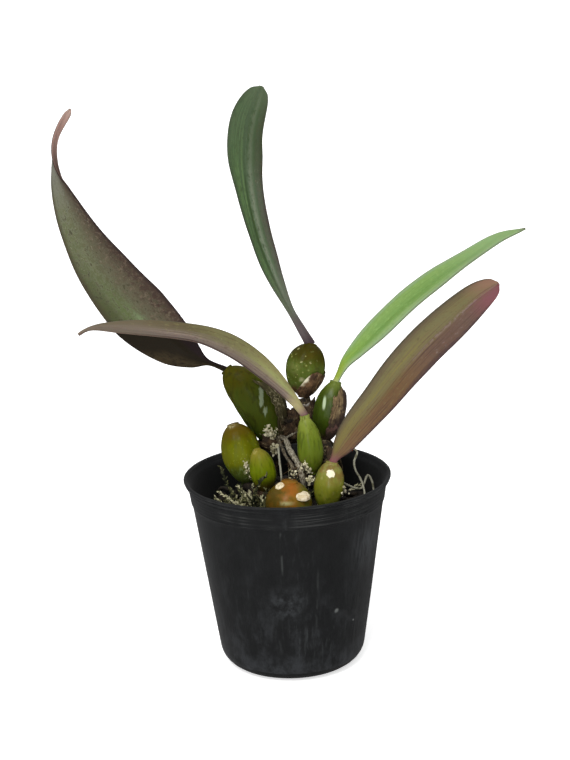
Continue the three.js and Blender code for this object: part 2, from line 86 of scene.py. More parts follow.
def profile(pairs, share):
    """A smooth curve through (share, value) pairs, whose values are numbers or vectors."""
    last = len(pairs) - 1
    after = next((i for i, (at, _) in enumerate(pairs) if at >= share and i > 0), last)
    before, first, second, beyond = (pairs[max(0, min(last, after + step))] for step in (-2, -1, 0, 1))
    span = second[0] - first[0]
    leaving = (second[1] - before[1]) * (span / (second[0] - before[0]))
    arriving = (beyond[1] - first[1]) * (span / (beyond[0] - first[0]))
    way = min(1, max(0, (share - first[0]) / span))
    return hermite(first[1], leaving, second[1], arriving, way)


def smooth_line(points):
    """Points along the centripetal Catmull-Rom curve through the given ones."""
    per_span = 16
    stops = [Vector(point) for point in points]
    line = []
    padded = [stops[0] * 2 - stops[1], *stops, stops[-1] * 2 - stops[-2]]
    for a, b, c, d in zip(padded, padded[1:], padded[2:], padded[3:]):
        before, span, after = (((q - p).length ** 0.5) for p, q in ((a, b), (b, c), (c, d)))
        leaving = ((b - a) / before - (c - a) / (before + span)) * span + (c - b)
        arriving = ((d - c) / after - (d - b) / (span + after)) * span + (c - b)
        line += [hermite(b, leaving, c, arriving, i / per_span) for i in range(per_span)]
    return [*line, stops[-1]]


class Route:
    """A smooth curve through points, read by share of its length."""

    def __init__(self, points):
        self.line = smooth_line(points)
        self.marks = [0.0]
        for start, end in zip(self.line, self.line[1:]):
            self.marks.append(self.marks[-1] + (end - start).length)
        self.length = self.marks[-1]

    def at(self, share):
        way = min(1, max(0, share)) * self.length
        i = min(bisect_right(self.marks, way), len(self.marks) - 1)
        start, end = self.marks[i - 1], self.marks[i]
        return self.line[i - 1].lerp(self.line[i], (way - start) / (end - start))

    def heading(self, share):
        reach = 0.004
        return (self.at(share + reach) - self.at(share - reach)).normalized()

    def frames(self, count):
        """Centre, right and back at even steps, turned as little as possible from one to the next."""
        heading = self.heading(0)
        right = heading.orthogonal().normalized()
        frames = []
        for i in range(count):
            share = i / (count - 1)
            turned = self.heading(share)
            right = (heading.rotation_difference(turned) @ right).normalized()
            heading = turned
            frames.append((self.at(share), right, heading.cross(right)))
        return frames


def way_out(right, back, turn):
    """The way out from an axis, at an angle round it from right to back."""
    return right * math.cos(turn) + back * math.sin(turn)


# ---------------------------------------------------------------------------------------------
# Meshes


def blank(*traits):
    """An empty mesh whose points can carry the named numbers."""
    bm = bmesh.new()
    for trait in traits:
        bm.verts.layers.float.new(trait)
    return bm


def skin_round(bm, around, rings, place):
    """Adds a closed skin, made from a sphere whose poles close its ends.

    place(share, turn, wide) says where each point goes: share runs from 0 to 1 along the skin,
    turn is the angle round it, and wide is 0 at the two poles and 1 elsewhere. Returns the
    share and turn of each point.
    """
    ball = bmesh.ops.create_uvsphere(bm, u_segments=around, v_segments=rings + 1, radius=1)
    spots = {}
    for vert in ball["verts"]:
        x, y, z = vert.co
        level = round((rings + 1) * math.atan2(math.hypot(x, y), -z) / math.pi)
        share = min(1, max(0, (level - 1) / (rings - 1)))
        column = round(around * math.atan2(y, x) / (2 * math.pi)) % around
        turn = column / around * 2 * math.pi
        vert.co = place(share, turn, 0 if level in (0, rings + 1) else 1)
        spots[vert] = (share, turn)
    return spots


def tube(bm, route, radius_at, around, rings):
    """Adds a tube along a route. radius_at(share, turn) gives its radius."""
    frames = route.frames(rings)

    def place(share, turn, wide):
        centre, right, back = frames[round(share * (rings - 1))]
        return centre + way_out(right, back, turn) * radius_at(share, turn) * wide

    return skin_round(bm, around, rings, place)


def mark(bm, name, values):
    """Gives each point its number, which a material reads by the name."""
    layer = bm.verts.layers.float[name]
    for vert, value in values.items():
        vert[layer] = value


def put_in_scene(name, bm, skin):
    mesh = bpy.data.meshes.new(name)
    bm.to_mesh(mesh)
    bm.free()
    mesh.materials.append(skin)
    thing = bpy.data.objects.new(name, mesh)
    bpy.context.collection.objects.link(thing)
    return thing


def piece(name, bm, skin, replaces=()):
    """Turns a mesh in millimetres into a piece of the object."""
    bmesh.ops.scale(bm, vec=(MM, MM, MM), verts=bm.verts)
    bmesh.ops.recalc_face_normals(bm, faces=bm.faces)
    thing = put_in_scene(name, bm, skin)
    thing.data.shade_smooth()
    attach(thing, "root")
    if replaces:
        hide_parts(*replaces)
    return thing


class Ground:
    """The outsides of some frame nodes, as something to set small things down on."""

    def __init__(self, *names):
        self.trees = []
        for name in names:
            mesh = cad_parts[name].data
            points = [vert.co / MM for vert in mesh.vertices]
            self.trees.append(BVHTree.FromPolygons(points, [tuple(p.vertices) for p in mesh.polygons]))

    def hit(self, start, heading):
        """The first place and its facing that a ray meets, or None."""
        hits = (tree.ray_cast(Vector(start), Vector(heading)) for tree in self.trees)
        met = [(distance, place, facing) for place, facing, _, distance in hits if place]
        if not met:
            return None
        _, place, facing = min(met, key=lambda found: found[0])
        return place, facing if facing.dot(heading) < 0 else -facing

    def seen(self, point):
        """The first place met on the way to a point from the front, or None."""
        return self.hit(Vector(point) - GLANCE * GLANCE_START, GLANCE)


# ---------------------------------------------------------------------------------------------
# Materials


def paint(code):
    """A colour from its hexadecimal screen value, as linear red, green, blue and alpha."""
    screen = [int(code[i : i + 2], 16) / 255 for i in (1, 3, 5)]
    return (*(c / 12.92 if c <= 0.04045 else ((c + 0.055) / 1.055) ** 2.4 for c in screen), 1)


class Field:
    """A number that varies over a surface. Arithmetic on fields adds their Math nodes."""

    def __init__(self, skin, socket):
        self.skin = skin
        self.socket = socket

    def maths(self, operation, *terms):
        made = self.skin.node("ShaderNodeMath", {"operation": operation}, dict(enumerate(terms)))
        return Field(self.skin, made.outputs[0])

    def __add__(self, other):
        return self.maths("ADD", self, other)

    def __sub__(self, other):
        return self.maths("SUBTRACT", self, other)

    def __rsub__(self, other):
        return self.maths("SUBTRACT", other, self)

    def __mul__(self, other):
        return self.maths("MULTIPLY", self, other)

    def __abs__(self):
        return self.maths("ABSOLUTE", self)

    def root(self):
        return self.maths("SQRT", self)

    def __or__(self, other):
        return self.maths("MAXIMUM", self, other)

    __radd__ = __add__
    __rmul__ = __mul__

    def rise(self, low, high):
        """0 at low, 1 at high, smooth between. low may be the larger."""
        sockets = {"Value": self, "From Min": low, "From Max": high}
        made = self.skin.node("ShaderNodeMapRange", {"interpolation_type": "SMOOTHSTEP"}, sockets)
        return Field(self.skin, made.outputs[0])

    def band(self, centre, width):
        """1 at the centre, 0 from the width on, on both sides."""
        return abs(self - centre).rise(width, 0)


class Skin:
    """A material while it is made. Its methods add nodes to it."""

    def __init__(self, name):
        self.material = bpy.data.materials.new(name)
        self.material.use_nodes = True
        self.tree = self.material.node_tree
        self.shader = self.tree.nodes["Principled BSDF"]
        self.object_place = self.node("ShaderNodeTexCoord").outputs["Object"]

    def feed(self, socket, value):
        value = getattr(value, "socket", value)
        if isinstance(value, bpy.types.NodeSocket):
            self.tree.links.new(value, socket)
        else:
            socket.default_value = value

    def node(self, kind, settings=None, sockets=None):
        """Adds a node: its settings first, then the values or links of its sockets."""
        made = self.tree.nodes.new(kind)
        for name, value in (settings or {}).items():
            setattr(made, name, value)
        for key, value in (sockets or {}).items():
            self.feed(made.inputs[key], value)
        return made

    def trait(self, name):
        """A number that the mesh carries."""
        return Field(self, self.node("ShaderNodeAttribute", {"attribute_name": name}).outputs["Fac"])

    def vector(self, x, y, z):
        return self.node("ShaderNodeCombineXYZ", sockets={0: x, 1: y, 2: z}).outputs[0]

    def coordinate(self, axis):
        """The place along one axis, in millimetres."""
        parts = self.node("ShaderNodeSeparateXYZ", sockets={0: self.object_place})
        return Field(self, parts.outputs[axis]) * (1 / MM)

    def place(self, stretch=(1, 1, 1)):
        """The place in millimetres, drawn out along the axes whose stretch is under 1."""
        scale = tuple(share / MM for share in stretch)
        sockets = {"Vector": self.object_place, "Scale": scale}
        return self.node("ShaderNodeMapping", sockets=sockets).outputs[0]

    def noise(self, size, place=None, detail=2, roughness=0.5):
        """Cloudy noise round 0.5, with features of about the given size in the place's units."""
        sockets = {
            "Vector": place or self.place(),
            "Scale": 1 / size,
            "Detail": detail,
            "Roughness": roughness,
        }
        return Field(self, self.node("ShaderNodeTexNoise", sockets=sockets).outputs[0])

    def cells(self, size):
        """The distance from the nearest of some scattered points, as a share of the size."""
        sockets = {"Vector": self.place(), "Scale": 1 / size}
        return Field(self, self.node("ShaderNodeTexVoronoi", sockets=sockets).outputs["Distance"])

    def spot(self, centre, radius, soft=0.4):
        """1 near a point, 0 from the radius on. soft is the share of the radius that fades."""
        sockets = {0: self.place(), 1: centre}
        apart = self.node("ShaderNodeVectorMath", {"operation": "DISTANCE"}, sockets)
        return Field(self, apart.outputs["Value"]).rise(radius, radius * (1 - soft))

    def mix(self, first, second, share):
        """The first colour where share is 0, the second where it is 1."""
        colours = [paint(c) if isinstance(c, str) else c for c in (first, second)]
        sockets = {0: share, 6: colours[0], 7: colours[1]}
        return self.node("ShaderNodeMix", {"data_type": "RGBA"}, sockets).outputs[2]

    def layers(self, ground, *coats):
        """A ground colour under coats, each a colour and the share that it covers."""
        for colour, share in coats:
            ground = self.mix(ground, colour, share)
        return ground

    def relief(self, height, depth):
        """A normal for a height between 0 and 1 that stands for a depth in millimetres."""
        sockets = {"Height": height, "Distance": depth * MM, "Strength": 1.0}
        return self.node("ShaderNodeBump", sockets=sockets).outputs[0]

    def finish(self, **sockets):
        """Feeds the shader's sockets, whose names are written with underscores."""
        for name, value in sockets.items():
            self.feed(self.shader.inputs[name.replace("_", " ")], value)
        return self.material


# ---------------------------------------------------------------------------------------------
# Pot


POT = SimpleNamespace(
    height=85,
    rim_radius=45,
    wall_top_radius=43.3,
    wall_foot_radius=30.9,
    foot_corner=9,
    corner_steps=8,
    wall=1,
    ring_start=12,
    ring_pitch=4,
    inside_rings=(64, 52, 40, 28),
    lip_height=1.2,
    lip_thick=1.4,
    lip_round=0.35,
    flare_height=3.6,
    collar_height=9.4,
    collar_step=0.35,
    collar_slope=0.6,
    bead_rise=0.07,
    bead_half=0.35,
    bead_heights=(0.5, 1.7, 3.4, 4.6, 6.8, 8.9),
    sides=144,
    sway=0.12,
    seam_rise=0.3,
    seam_width=1.6,
    seam_reach=(10, 76),
    seam_angles=(-95.5, -71, -118, -40, 85),
    seam_lines=((2.6, 0.014), (-8.9, -0.05)),
)
DRAIN = SimpleNamespace(count=6, radius=3.2, circle_radius=15, sides=24, depth=6)


def wall_radius(z):
    return lerp(POT.wall_foot_radius, POT.wall_top_radius, z / POT.height)


def corner_arc(inset):
    """The pot's rounded bottom edge, moved inwards by an inset."""
    slope = math.atan2(POT.height, POT.wall_top_radius - POT.wall_foot_radius)
    centre = POT.wall_foot_radius - POT.foot_corner * math.tan(slope / 2)
    radius = POT.foot_corner - inset
    angles = [slope * i / POT.corner_steps - math.pi / 2 for i in range(POT.corner_steps + 1)]
    return [(centre + radius * math.cos(a), POT.foot_corner + radius * math.sin(a)) for a in angles]


def pot_outline():
    """Radius and height of the pot's section, from the axis underneath round to the axis inside."""
    lip_foot = POT.height - POT.lip_height
    flare_foot = lip_foot - POT.flare_height
    collar_foot = lip_foot - POT.collar_height
    wall_end = collar_foot - POT.collar_slope
    lip_inside = POT.rim_radius - POT.lip_thick
    points = [(0, 0), *corner_arc(0)]
    points += [(wall_radius(z), z) for z in range(POT.ring_start, int(collar_foot) - 1, POT.ring_pitch)]
    points += [(wall_radius(wall_end), wall_end), (wall_radius(collar_foot) + POT.collar_step, collar_foot)]
    for above in POT.bead_heights:
        z = collar_foot + above
        radius = wall_radius(z) + POT.collar_step + flare(z, flare_foot, lip_foot)
        points += [(radius, z - POT.bead_half), (radius + POT.bead_rise, z), (radius, z + POT.bead_half)]
    points += [
        (POT.rim_radius - POT.lip_round, lip_foot),
        (POT.rim_radius, lip_foot + POT.lip_round),
        (POT.rim_radius, POT.height - POT.lip_round),
        (POT.rim_radius - POT.lip_round, POT.height),
        (lip_inside + POT.lip_round, POT.height),
        (lip_inside, POT.height - POT.lip_round),
    ]
    inner = [lip_foot, lerp(flare_foot, lip_foot, 0.5), flare_foot, collar_foot, *POT.inside_rings]
    points += [(wall_radius(z) - POT.wall + flare(z, flare_foot, lip_foot), z) for z in inner]
    return points + corner_arc(POT.wall)[::-1] + [(0, POT.wall)]


def flare(z, foot, top):
    """How far the thin wall opens out towards the lip."""
    return (POT.rim_radius - POT.lip_round - wall_radius(top) - POT.collar_step) * rise(z, foot, top)


def spun(outline, sides):
    """A solid turned about Z from an outline of radii and heights."""
    bm = blank()
    verts = [bm.verts.new((radius, 0, z)) for radius, z in outline]
    edges = [bm.edges.new(pair) for pair in zip(verts, verts[1:])]
    bmesh.ops.spin(
        bm, geom=verts + edges, axis=UP, cent=(0, 0, 0), angle=2 * math.pi, steps=sides, use_merge=True
    )
    bmesh.ops.remove_doubles(bm, verts=bm.verts, dist=1e-4)
    return bm


def raise_seams(bm):
    """Raises the faint upright mould lines, and lets the thin wall run a little out of round."""
    for vert in bm.verts:
        x, y, z = vert.co
        radius = math.hypot(x, y)
        outside = radius > wall_radius(z) - 0.3 and POT.seam_reach[0] < z < POT.seam_reach[1]
        angle = math.degrees(math.atan2(y, x))
        apart = min(abs((angle - seam + 180) % 360 - 180) for seam in POT.seam_angles)
        seam = POT.seam_rise * hump(apart, 0, POT.seam_width) * rise(z, 12, 20) if outside else 0
        sway = POT.sway * noise.noise((x / 18, y / 18, z / 40)) * rise(z, 8, 30)
        if radius > 1:
            vert.co.xy *= (radius + seam + sway) / radius


def drill(bm, x, y):
    """Cuts a drain hole through the floor of the pot."""
    cutter = bmesh.new()
    bmesh.ops.create_cone(
        cutter,
        cap_ends=True,
        segments=DRAIN.sides,
        radius1=DRAIN.radius,
        radius2=DRAIN.radius,
        depth=DRAIN.depth,
    )
    bmesh.ops.translate(cutter, vec=(x, y, 0), verts=cutter.verts)
    tool_mesh, body_mesh = (bpy.data.meshes.new(name) for name in ("drill", "drilled"))
    cutter.to_mesh(tool_mesh)
    bm.to_mesh(body_mesh)
    cutter.free()
    tool, body = (bpy.data.objects.new(m.name, m) for m in (tool_mesh, body_mesh))
    for thing in (tool, body):
        bpy.context.collection.objects.link(thing)
    cut = body.modifiers.new("cut", "BOOLEAN")
    cut.object = tool
    cut.solver = "EXACT"
    finished = body.evaluated_get(bpy.context.evaluated_depsgraph_get()).to_mesh()
    bm.clear()
    bm.from_mesh(finished)
    for mesh in (tool_mesh, body_mesh):
        bpy.data.meshes.remove(mesh)


def pot_skin():
    skin = Skin("black_polythene")
    across, deep, height = (skin.coordinate(axis) for axis in range(3))
    slope = (POT.wall_top_radius - POT.wall_foot_radius) / POT.height
    to_wall = (across * across + deep * deep).root() - height * slope - POT.wall_foot_radius
    # painted shade: the inside of the wall and the floor of the pot go almost black
    inner_wall_shade = to_wall.rise(-0.45, -0.75)
    low = height.rise(62, 12)
    streaks = skin.noise(1.5, skin.place((1, 1, 0.03)), detail=4, roughness=0.65)
    broad = skin.noise(12, skin.place((1, 1, 0.35)), detail=3)
    film = skin.noise(7, skin.place((1, 1, 0.6)), detail=6, roughness=0.7)
    drawn = skin.noise(0.8, skin.place((1, 1, 0.02)), detail=2)
    faded = skin.noise(16, skin.place((1, 1, 0.2))).rise(0.42, 0.6)
    collar = skin.noise(0.5, skin.place((0.02, 0.02, 1)), detail=3) * height.rise(72, 75)
    rubbed = streaks.rise(0.5, 0.76) * broad.rise(0.4, 0.64)
    cloudy = skin.noise(4.5, detail=5, roughness=0.65).rise(0.4, 0.66)
    front_wipe = skin.spot((-2, -36, 39), 12, 1) * cloudy
    # painted sheen: a lighter streaky band down the pot's right side
    side_sheen_painted = skin.spot((33, -21, 60), 17, 1) * streaks.rise(0.3, 0.6)
    scuff = skin.spot((19, -30.2, 33.1), 1.5, 0.7) * cloudy | skin.spot((26.2, -22.6, 25.5), 0.7, 0.6)
    worn = skin.noise(5, skin.place((1, 1, 0.5)), detail=3).rise(0.42, 0.62) * deep.rise(0, -5)
    seams = [(across + height * lean + place).band(0, 0.7) * worn for place, lean in POT.seam_lines]
    seam = seams[0] * height.rise(36, 50) | seams[1] * height.rise(20, 34) * height.rise(62, 50) * 0.6
    colour = skin.layers(
        paint("#121314"),
        ("#343738", rubbed * (0.3 + low * 0.3)),
        ("#2b2d30", film.rise(0.46, 0.72) * (0.15 + low * 0.45)),
        ("#0f1011", film.rise(0.46, 0.34) * 0.5),
        # a lighter smudge on the front, and the painted sheen down the right side
        ("#3b3e41", (front_wipe | side_sheen_painted) * 0.6),
        # painted reflection of the floor: lighter near the foot, broken up by the film
        ("#2c2e31", height.rise(18, 6) * film.rise(0.36, 0.6) * 0.7),
        ("#363736", collar.rise(0.5, 0.68) * faded * 0.6),
        ("#3a3d3c", seam * height.rise(74, 72) * 0.55),
        ("#6f7270", scuff * 0.5),
        # painted shade inside the pot
        ("#060706", inner_wall_shade * 0.85),
    )
    return skin.finish(
        Base_Color=colour,
        Roughness=0.46 + broad * 0.14 + film * 0.2,
        Specular_IOR_Level=0.22,
        Sheen_Weight=0.06,
        Sheen_Roughness=0.45,
        Normal=skin.relief(drawn * 0.7 + film * 0.3, 0.08),
    )


def make_pot():
    bm = spun(pot_outline(), POT.sides)
    raise_seams(bm)
    bmesh.ops.recalc_face_normals(bm, faces=bm.faces)
    for i in range(DRAIN.count):
        angle = (i + 0.5) / DRAIN.count * 2 * math.pi
        drill(bm, DRAIN.circle_radius * math.cos(angle), DRAIN.circle_radius * math.sin(angle))
    piece("nursery_pot", bm, pot_skin(), ["pot"])


# ---------------------------------------------------------------------------------------------
# Potting medium: bark chips, moss and crumbs


MEDIUM_LEVEL = 66  # the height of its top at the wall
ABOVE_MEDIUM = 110  # where a ray that looks for the top of the medium starts
CHIPS = SimpleNamespace(count=260, length=(5, 11), width=(3, 6.5), thick=(1.2, 2.8), reach=39)


def bark_skin():
    skin = Skin("composted_bark")
    grain = skin.noise(0.9, skin.place((1, 1, 0.35)), detail=4, roughness=0.65)
    patch = skin.noise(6, detail=3)
    fleck = skin.cells(1.6).rise(0.22, 0.08) * skin.noise(5).rise(0.5, 0.62)
    colour = skin.layers(
        skin.mix("#0d0b08", "#271e15", grain),
        ("#3b3021", patch.rise(0.54, 0.72) * 0.6),
        ("#5a583c", fleck * 0.35),
    )
    return skin.finish(
        Base_Color=colour,
        Roughness=0.82,
        Specular_IOR_Level=0.25,
        Normal=skin.relief(grain, 0.5),
    )


def roughen(verts, size, depth):
    """Moves points by noise, the same way wherever two of them lie together."""
    for vert in verts:
        vert.co += noise.noise_vector(vert.co / size) * depth


def make_chips(medium, skin):
    draw = random.Random(11)
    bm = blank()
    placed = 0
    while placed < CHIPS.count:
        x, y = (draw.uniform(-CHIPS.reach, CHIPS.reach) for _ in range(2))
        size = Vector(draw.uniform(*span) for span in (CHIPS.length, CHIPS.width, CHIPS.thick))
        found = medium.hit((x, y, ABOVE_MEDIUM), -UP)
        if math.hypot(x, y) + size.x * 0.55 > wall_radius(MEDIUM_LEVEL) - POT.wall or not found:
            continue
        verts = bmesh.ops.create_icosphere(bm, subdivisions=2, radius=0.5)["verts"]
        for vert in verts:
            # Between a ball and a box, so that the chip has broken edges and flat faces.
            reach = max(abs(c) for c in vert.co)
            vert.co = vert.co.lerp(vert.co / (2 * reach) * 0.8, 0.8)
            vert.co = Vector(a * b for a, b in zip(vert.co, size))
        roughen(verts, 2.2, 0.5)
        turned = Matrix.Rotation(draw.uniform(0, 2 * math.pi), 4, "Z")
        tilted = Matrix.Rotation(draw.gauss(0, 0.35), 4, "X") @ Matrix.Rotation(draw.gauss(0, 0.3), 4, "Y")
        seat = found[0] + UP * draw.uniform(-0.2, 0.45) * size.z
        bmesh.ops.transform(bm, matrix=Matrix.Translation(seat) @ turned @ tilted, verts=verts)
        placed += 1
    piece("bark_chips", bm, skin)


MOSS_TUFTS = (
    # centre x and y, spread, strands, tallest strand
    ((-19, -27), 7, 160, 12),
    ((-12, -22), 6, 90, 12),
    ((-9, -31), 5, 90, 9),
    ((-25, -20), 4, 40, 9),
    ((12, -28), 4, 30, 6),
    ((26, -24), 6, 60, 7),
    ((31, -8), 5, 30, 6),
    ((-14, 18), 9, 40, 7),
    ((12, 22), 10, 40, 7),
    ((-30, 4), 5, 24, 6),
    ((6, 0), 9, 30, 7),
)
MOSS_SPRIGS = (
    # foot x and y, spread, sprigs, longest sprig
    ((-21, -24.5), 5, 22, 18),
    ((-16, -24), 4, 19, 23),
    ((-14.5, -21), 1.5, 5, 32),
    ((-17, -31), 4, 12, 14),
    ((-10, -28), 4, 15, 18),
    ((-27, -20), 3, 3, 13),
    ((6.5, -25), 2.4, 9, 21),
    ((27, -25), 4, 8, 9),
    ((33, -10), 4, 4, 8),
    ((-12, 20), 8, 10, 9),
    ((14, 22), 9, 10, 9),
)
MOSS_MARGIN = 4  # how far inside the wall moss is rooted
SPRIG = SimpleNamespace(leaves_per_mm=2.4, leaf_length=(1.8, 1.4))
FIBRES_ABOVE = 70  # the least height that fibres start from
FIBRE_TUFTS = (
    # middle, spread, fibres, longest fibre
    ((-14, -19, 82), 4.5, 40, 8),
    ((-6, 2, 99), 4, 40, 8),
    ((0, 4, 104), 3.5, 36, 7),
    ((9, 8, 108), 3, 22, 6),
    ((3, -12, 93), 4, 40, 6),
    ((17, -6, 96), 3.5, 26, 7),
)


def moss_skin():
    skin = Skin("dry_moss")
    tone = skin.trait("tone")
    grain = skin.noise(0.8, detail=2)
    colour = skin.layers(
        skin.mix("#1d2110", "#676641", tone.rise(0.15, 0.5)),
        ("#c4bf9c", tone.rise(0.48, 0.78) * 0.95),
        ("#17180e", grain.rise(0.55, 0.3) * 0.4),
    )
    return skin.finish(Base_Color=colour, Roughness=0.85, Specular_IOR_Level=0.2)


def fibre_skin():
    skin = Skin("dry_fibres")
    tone = skin.trait("tone")
    colour = skin.layers(
        skin.mix("#231a10", "#5c4a33", tone.rise(0, 0.7)),
        ("#a1967a", tone.rise(0.72, 1)),
    )
    return skin.finish(Base_Color=colour, Roughness=0.8, Specular_IOR_Level=0.2)


def wandering(draw, foot, lean, step, sway, margin):
    """A route of three steps that wander, kept inside the pot by a margin."""
    points = [foot]
    for _ in range(3):
        lean = (lean + Vector(draw.gauss(0, sway) for _ in range(3))).normalized()
        points.append(points[-1] + lean * step)
        reach = math.hypot(points[-1].x, points[-1].y)
        inside = wall_radius(min(POT.height, points[-1].z)) - POT.wall - margin
        if reach > inside:
            points[-1].xy *= inside / reach
    return Route(points)


def thread(bm, route, thick, taper):
    """Adds a fine tube that thins by the taper along its length."""
    return tube(bm, route, lambda share, _: thick - taper * share, 5, 9)


def strand(draw, foot, lean, step, sway, thick):
    """One bare thread."""
    bm = blank("tone")
    verts = thread(bm, wandering(draw, foot, lean, step, sway, 1), thick, thick * 0.6)
    mark(bm, "tone", dict.fromkeys(verts, draw.random()))
    return bm


def join(bm, part):
    """Moves a small mesh into a large one, whose own size would slow the work on the small one."""
    mesh = bpy.data.meshes.new("part")
    part.to_mesh(mesh)
    part.free()
    bm.from_mesh(mesh)
    bpy.data.meshes.remove(mesh)


def sprig(draw, foot, lean, length):
    """A stem of bog moss, leafy all the way up."""
    bm = blank("tone")
    route = wandering(draw, foot, lean, length / 3, 0.35, 1.5)
    tone = draw.choice((0.2, 0.4, 0.7))
    mark(bm, "tone", dict.fromkeys(thread(bm, route, 0.3, 0.15), tone))
    leaves = round(route.length * SPRIG.leaves_per_mm)
    for i in range(leaves):
        share = (i + 0.5) / leaves
        out = Vector(draw.gauss(0, 1) for _ in range(3)).cross(route.heading(share)).normalized()
        pointing = (out + route.heading(share) * draw.uniform(0.6, 2)).normalized()
        verts = bmesh.ops.create_icosphere(bm, subdivisions=1, radius=0.5)["verts"]
        size = lerp(*SPRIG.leaf_length, share) * draw.uniform(0.6, 1.2)
        shape = Matrix.Diagonal((size * 0.55, size * 0.4, size * 1.4, 1))
        turned = pointing.to_track_quat("Z", "Y").to_matrix().to_4x4()
        seat = Matrix.Translation(route.at(share) + pointing * size * 0.5)
        bmesh.ops.transform(bm, matrix=seat @ turned @ shape, verts=verts)
        mark(bm, "tone", dict.fromkeys(verts, tone + draw.gauss(0, 0.15)))
    return bm


def scattered(draw, middle, spread):
    """A place near a middle."""
    return Vector(c + draw.gauss(0, spread / 2) for c in middle)


def rooted(draw, medium, middle, spread):
    """A place just under the top of the medium, near a middle, or None outside the pot."""
    start = scattered(draw, middle, spread).to_3d() + UP * ABOVE_MEDIUM
    found = medium.hit(start, -UP)
    if found and math.hypot(start.x, start.y) < wall_radius(MEDIUM_LEVEL) - MOSS_MARGIN:
        return found[0] - UP
    return None


def make_moss(medium, skin):
    draw = random.Random(5)
    bm = blank("tone")
    for middle, spread, sprigs, longest in MOSS_SPRIGS:
        for _ in range(sprigs):
            foot = rooted(draw, medium, middle, spread)
            lean = Vector((draw.gauss(0, 0.45), draw.gauss(0, 0.35), 1)).normalized()
            if foot:
                join(bm, sprig(draw, foot, lean, longest * draw.uniform(0.5, 1)))
    for middle, spread, strands, tall in MOSS_TUFTS:
        for _ in range(strands):
            foot = rooted(draw, medium, middle, spread)
            lean = Vector((draw.gauss(0, 0.7), draw.gauss(0, 0.7), draw.uniform(0.5, 1.6))).normalized()
            step = tall * draw.uniform(0.15, 0.42)
            thick = draw.uniform(0.12, 0.32)
            if foot:
                join(bm, strand(draw, foot, lean, step, 0.45, thick))
    piece("moss_strands", bm, skin)


def make_fibres(plant, skin):
    """Threads of old sheaths and fine roots that stand out from the joints of the plant."""
    draw = random.Random(31)
    bm = blank("tone")
    for middle, spread, fibres, longest in FIBRE_TUFTS:
        for _ in range(fibres):
            found = plant.seen(scattered(draw, middle, spread))
            lean = Vector((draw.gauss(0, 0.8), draw.uniform(-0.7, 0.1), draw.gauss(-0.3, 0.9))).normalized()
            step = longest * draw.uniform(0.12, 0.36)
            thick = draw.uniform(0.08, 0.2)
            if found and found[0].z > FIBRES_ABOVE:
                join(bm, strand(draw, found[0] - found[1] * 0.2, lean, step, 0.4, thick))
    piece("dry_fibres", bm, skin)


# How far from its aim a crumb may land, and how far inside the wall it stays.
CRUMBS = SimpleNamespace(stray=7, margin=3)
CRUMB_HEAPS = (
    # middle, spread, crumbs, largest crumb
    ((-6.4, 3, 102.6), 3.2, 60, 1.7),
    ((-8.2, 3, 104.4), 1.6, 18, 1.4),
    ((-5.6, 1.5, 97.2), 2.2, 40, 1.7),
    ((-5.2, 1.5, 95), 1.6, 20, 1.4),
    ((7.4, -19, 94.4), 1.8, 26, 1.5),
    ((8.6, -19, 92.4), 1.6, 18, 1.3),
    ((9.6, -24, 89.9), 1.8, 26, 1.5),
    ((2.8, -24, 92.2), 1.8, 20, 1.3),
    ((-17.6, -12, 94.2), 1.4, 26, 1.2),
    ((-16.4, -12, 90.8), 1.1, 16, 1.0),
    ((-15.9, -12, 87.4), 1.0, 8, 0.8),
    ((22.3, -14, 81.5), 2.6, 12, 1.3),
    ((24.6, -22, 84), 2.4, 10, 1.5),
    ((-20.3, -26, 81), 4.4, 14, 1.0),
)


def crumb_skin():
    skin = Skin("moss_crumbs")
    tone = skin.trait("tone")
    colour = skin.layers(
        skin.mix("#8e8766", "#d5ceb0", tone.rise(0, 0.8)),
        ("#5c5836", skin.noise(0.8).rise(0.52, 0.66) * 0.6),
    )
    return skin.finish(Base_Color=colour, Roughness=0.9, Specular_IOR_Level=0.2)


def make_crumbs(plant, skin):
    draw = random.Random(23)
    bm = blank("tone")
    for middle, spread, crumbs, largest in CRUMB_HEAPS:
        for _ in range(crumbs):
            aim = scattered(draw, middle, spread)
            found = plant.seen(aim)
            size = largest * draw.uniform(0.35, 1) ** 1.5
            if not found or (found[0] - aim).length > CRUMBS.stray:
                found = aim, -GLANCE
            place, facing = found
            if math.hypot(place.x, place.y) > wall_radius(place.z) - CRUMBS.margin:
                continue
            crumb = blank("tone")
            verts = bmesh.ops.create_icosphere(crumb, subdivisions=2, radius=size / 2)["verts"]
            stretch = Vector(draw.uniform(0.45, 1.5) for _ in range(3))
            bmesh.ops.scale(crumb, vec=stretch, verts=verts)
            bmesh.ops.translate(crumb, vec=place + facing * size * 0.2, verts=verts)
            roughen(verts, 0.8, 0.42 * size)
            mark(crumb, "tone", dict.fromkeys(verts, draw.random()))
            join(bm, crumb)
    piece("moss_crumbs", bm, skin)


def make_medium():
    bark = bark_skin()
    medium = Ground("potting_medium")
    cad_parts["potting_medium"].data.materials.clear()
    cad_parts["potting_medium"].data.materials.append(bark)
    make_chips(medium, bark)
    make_moss(medium, moss_skin())
    plant = Ground("potting_medium", "rhizome", *BULBS)
    make_crumbs(plant, crumb_skin())
    make_fibres(Ground("potting_medium", "rhizome"), fibre_skin())


# ---------------------------------------------------------------------------------------------
# Rhizome and roots


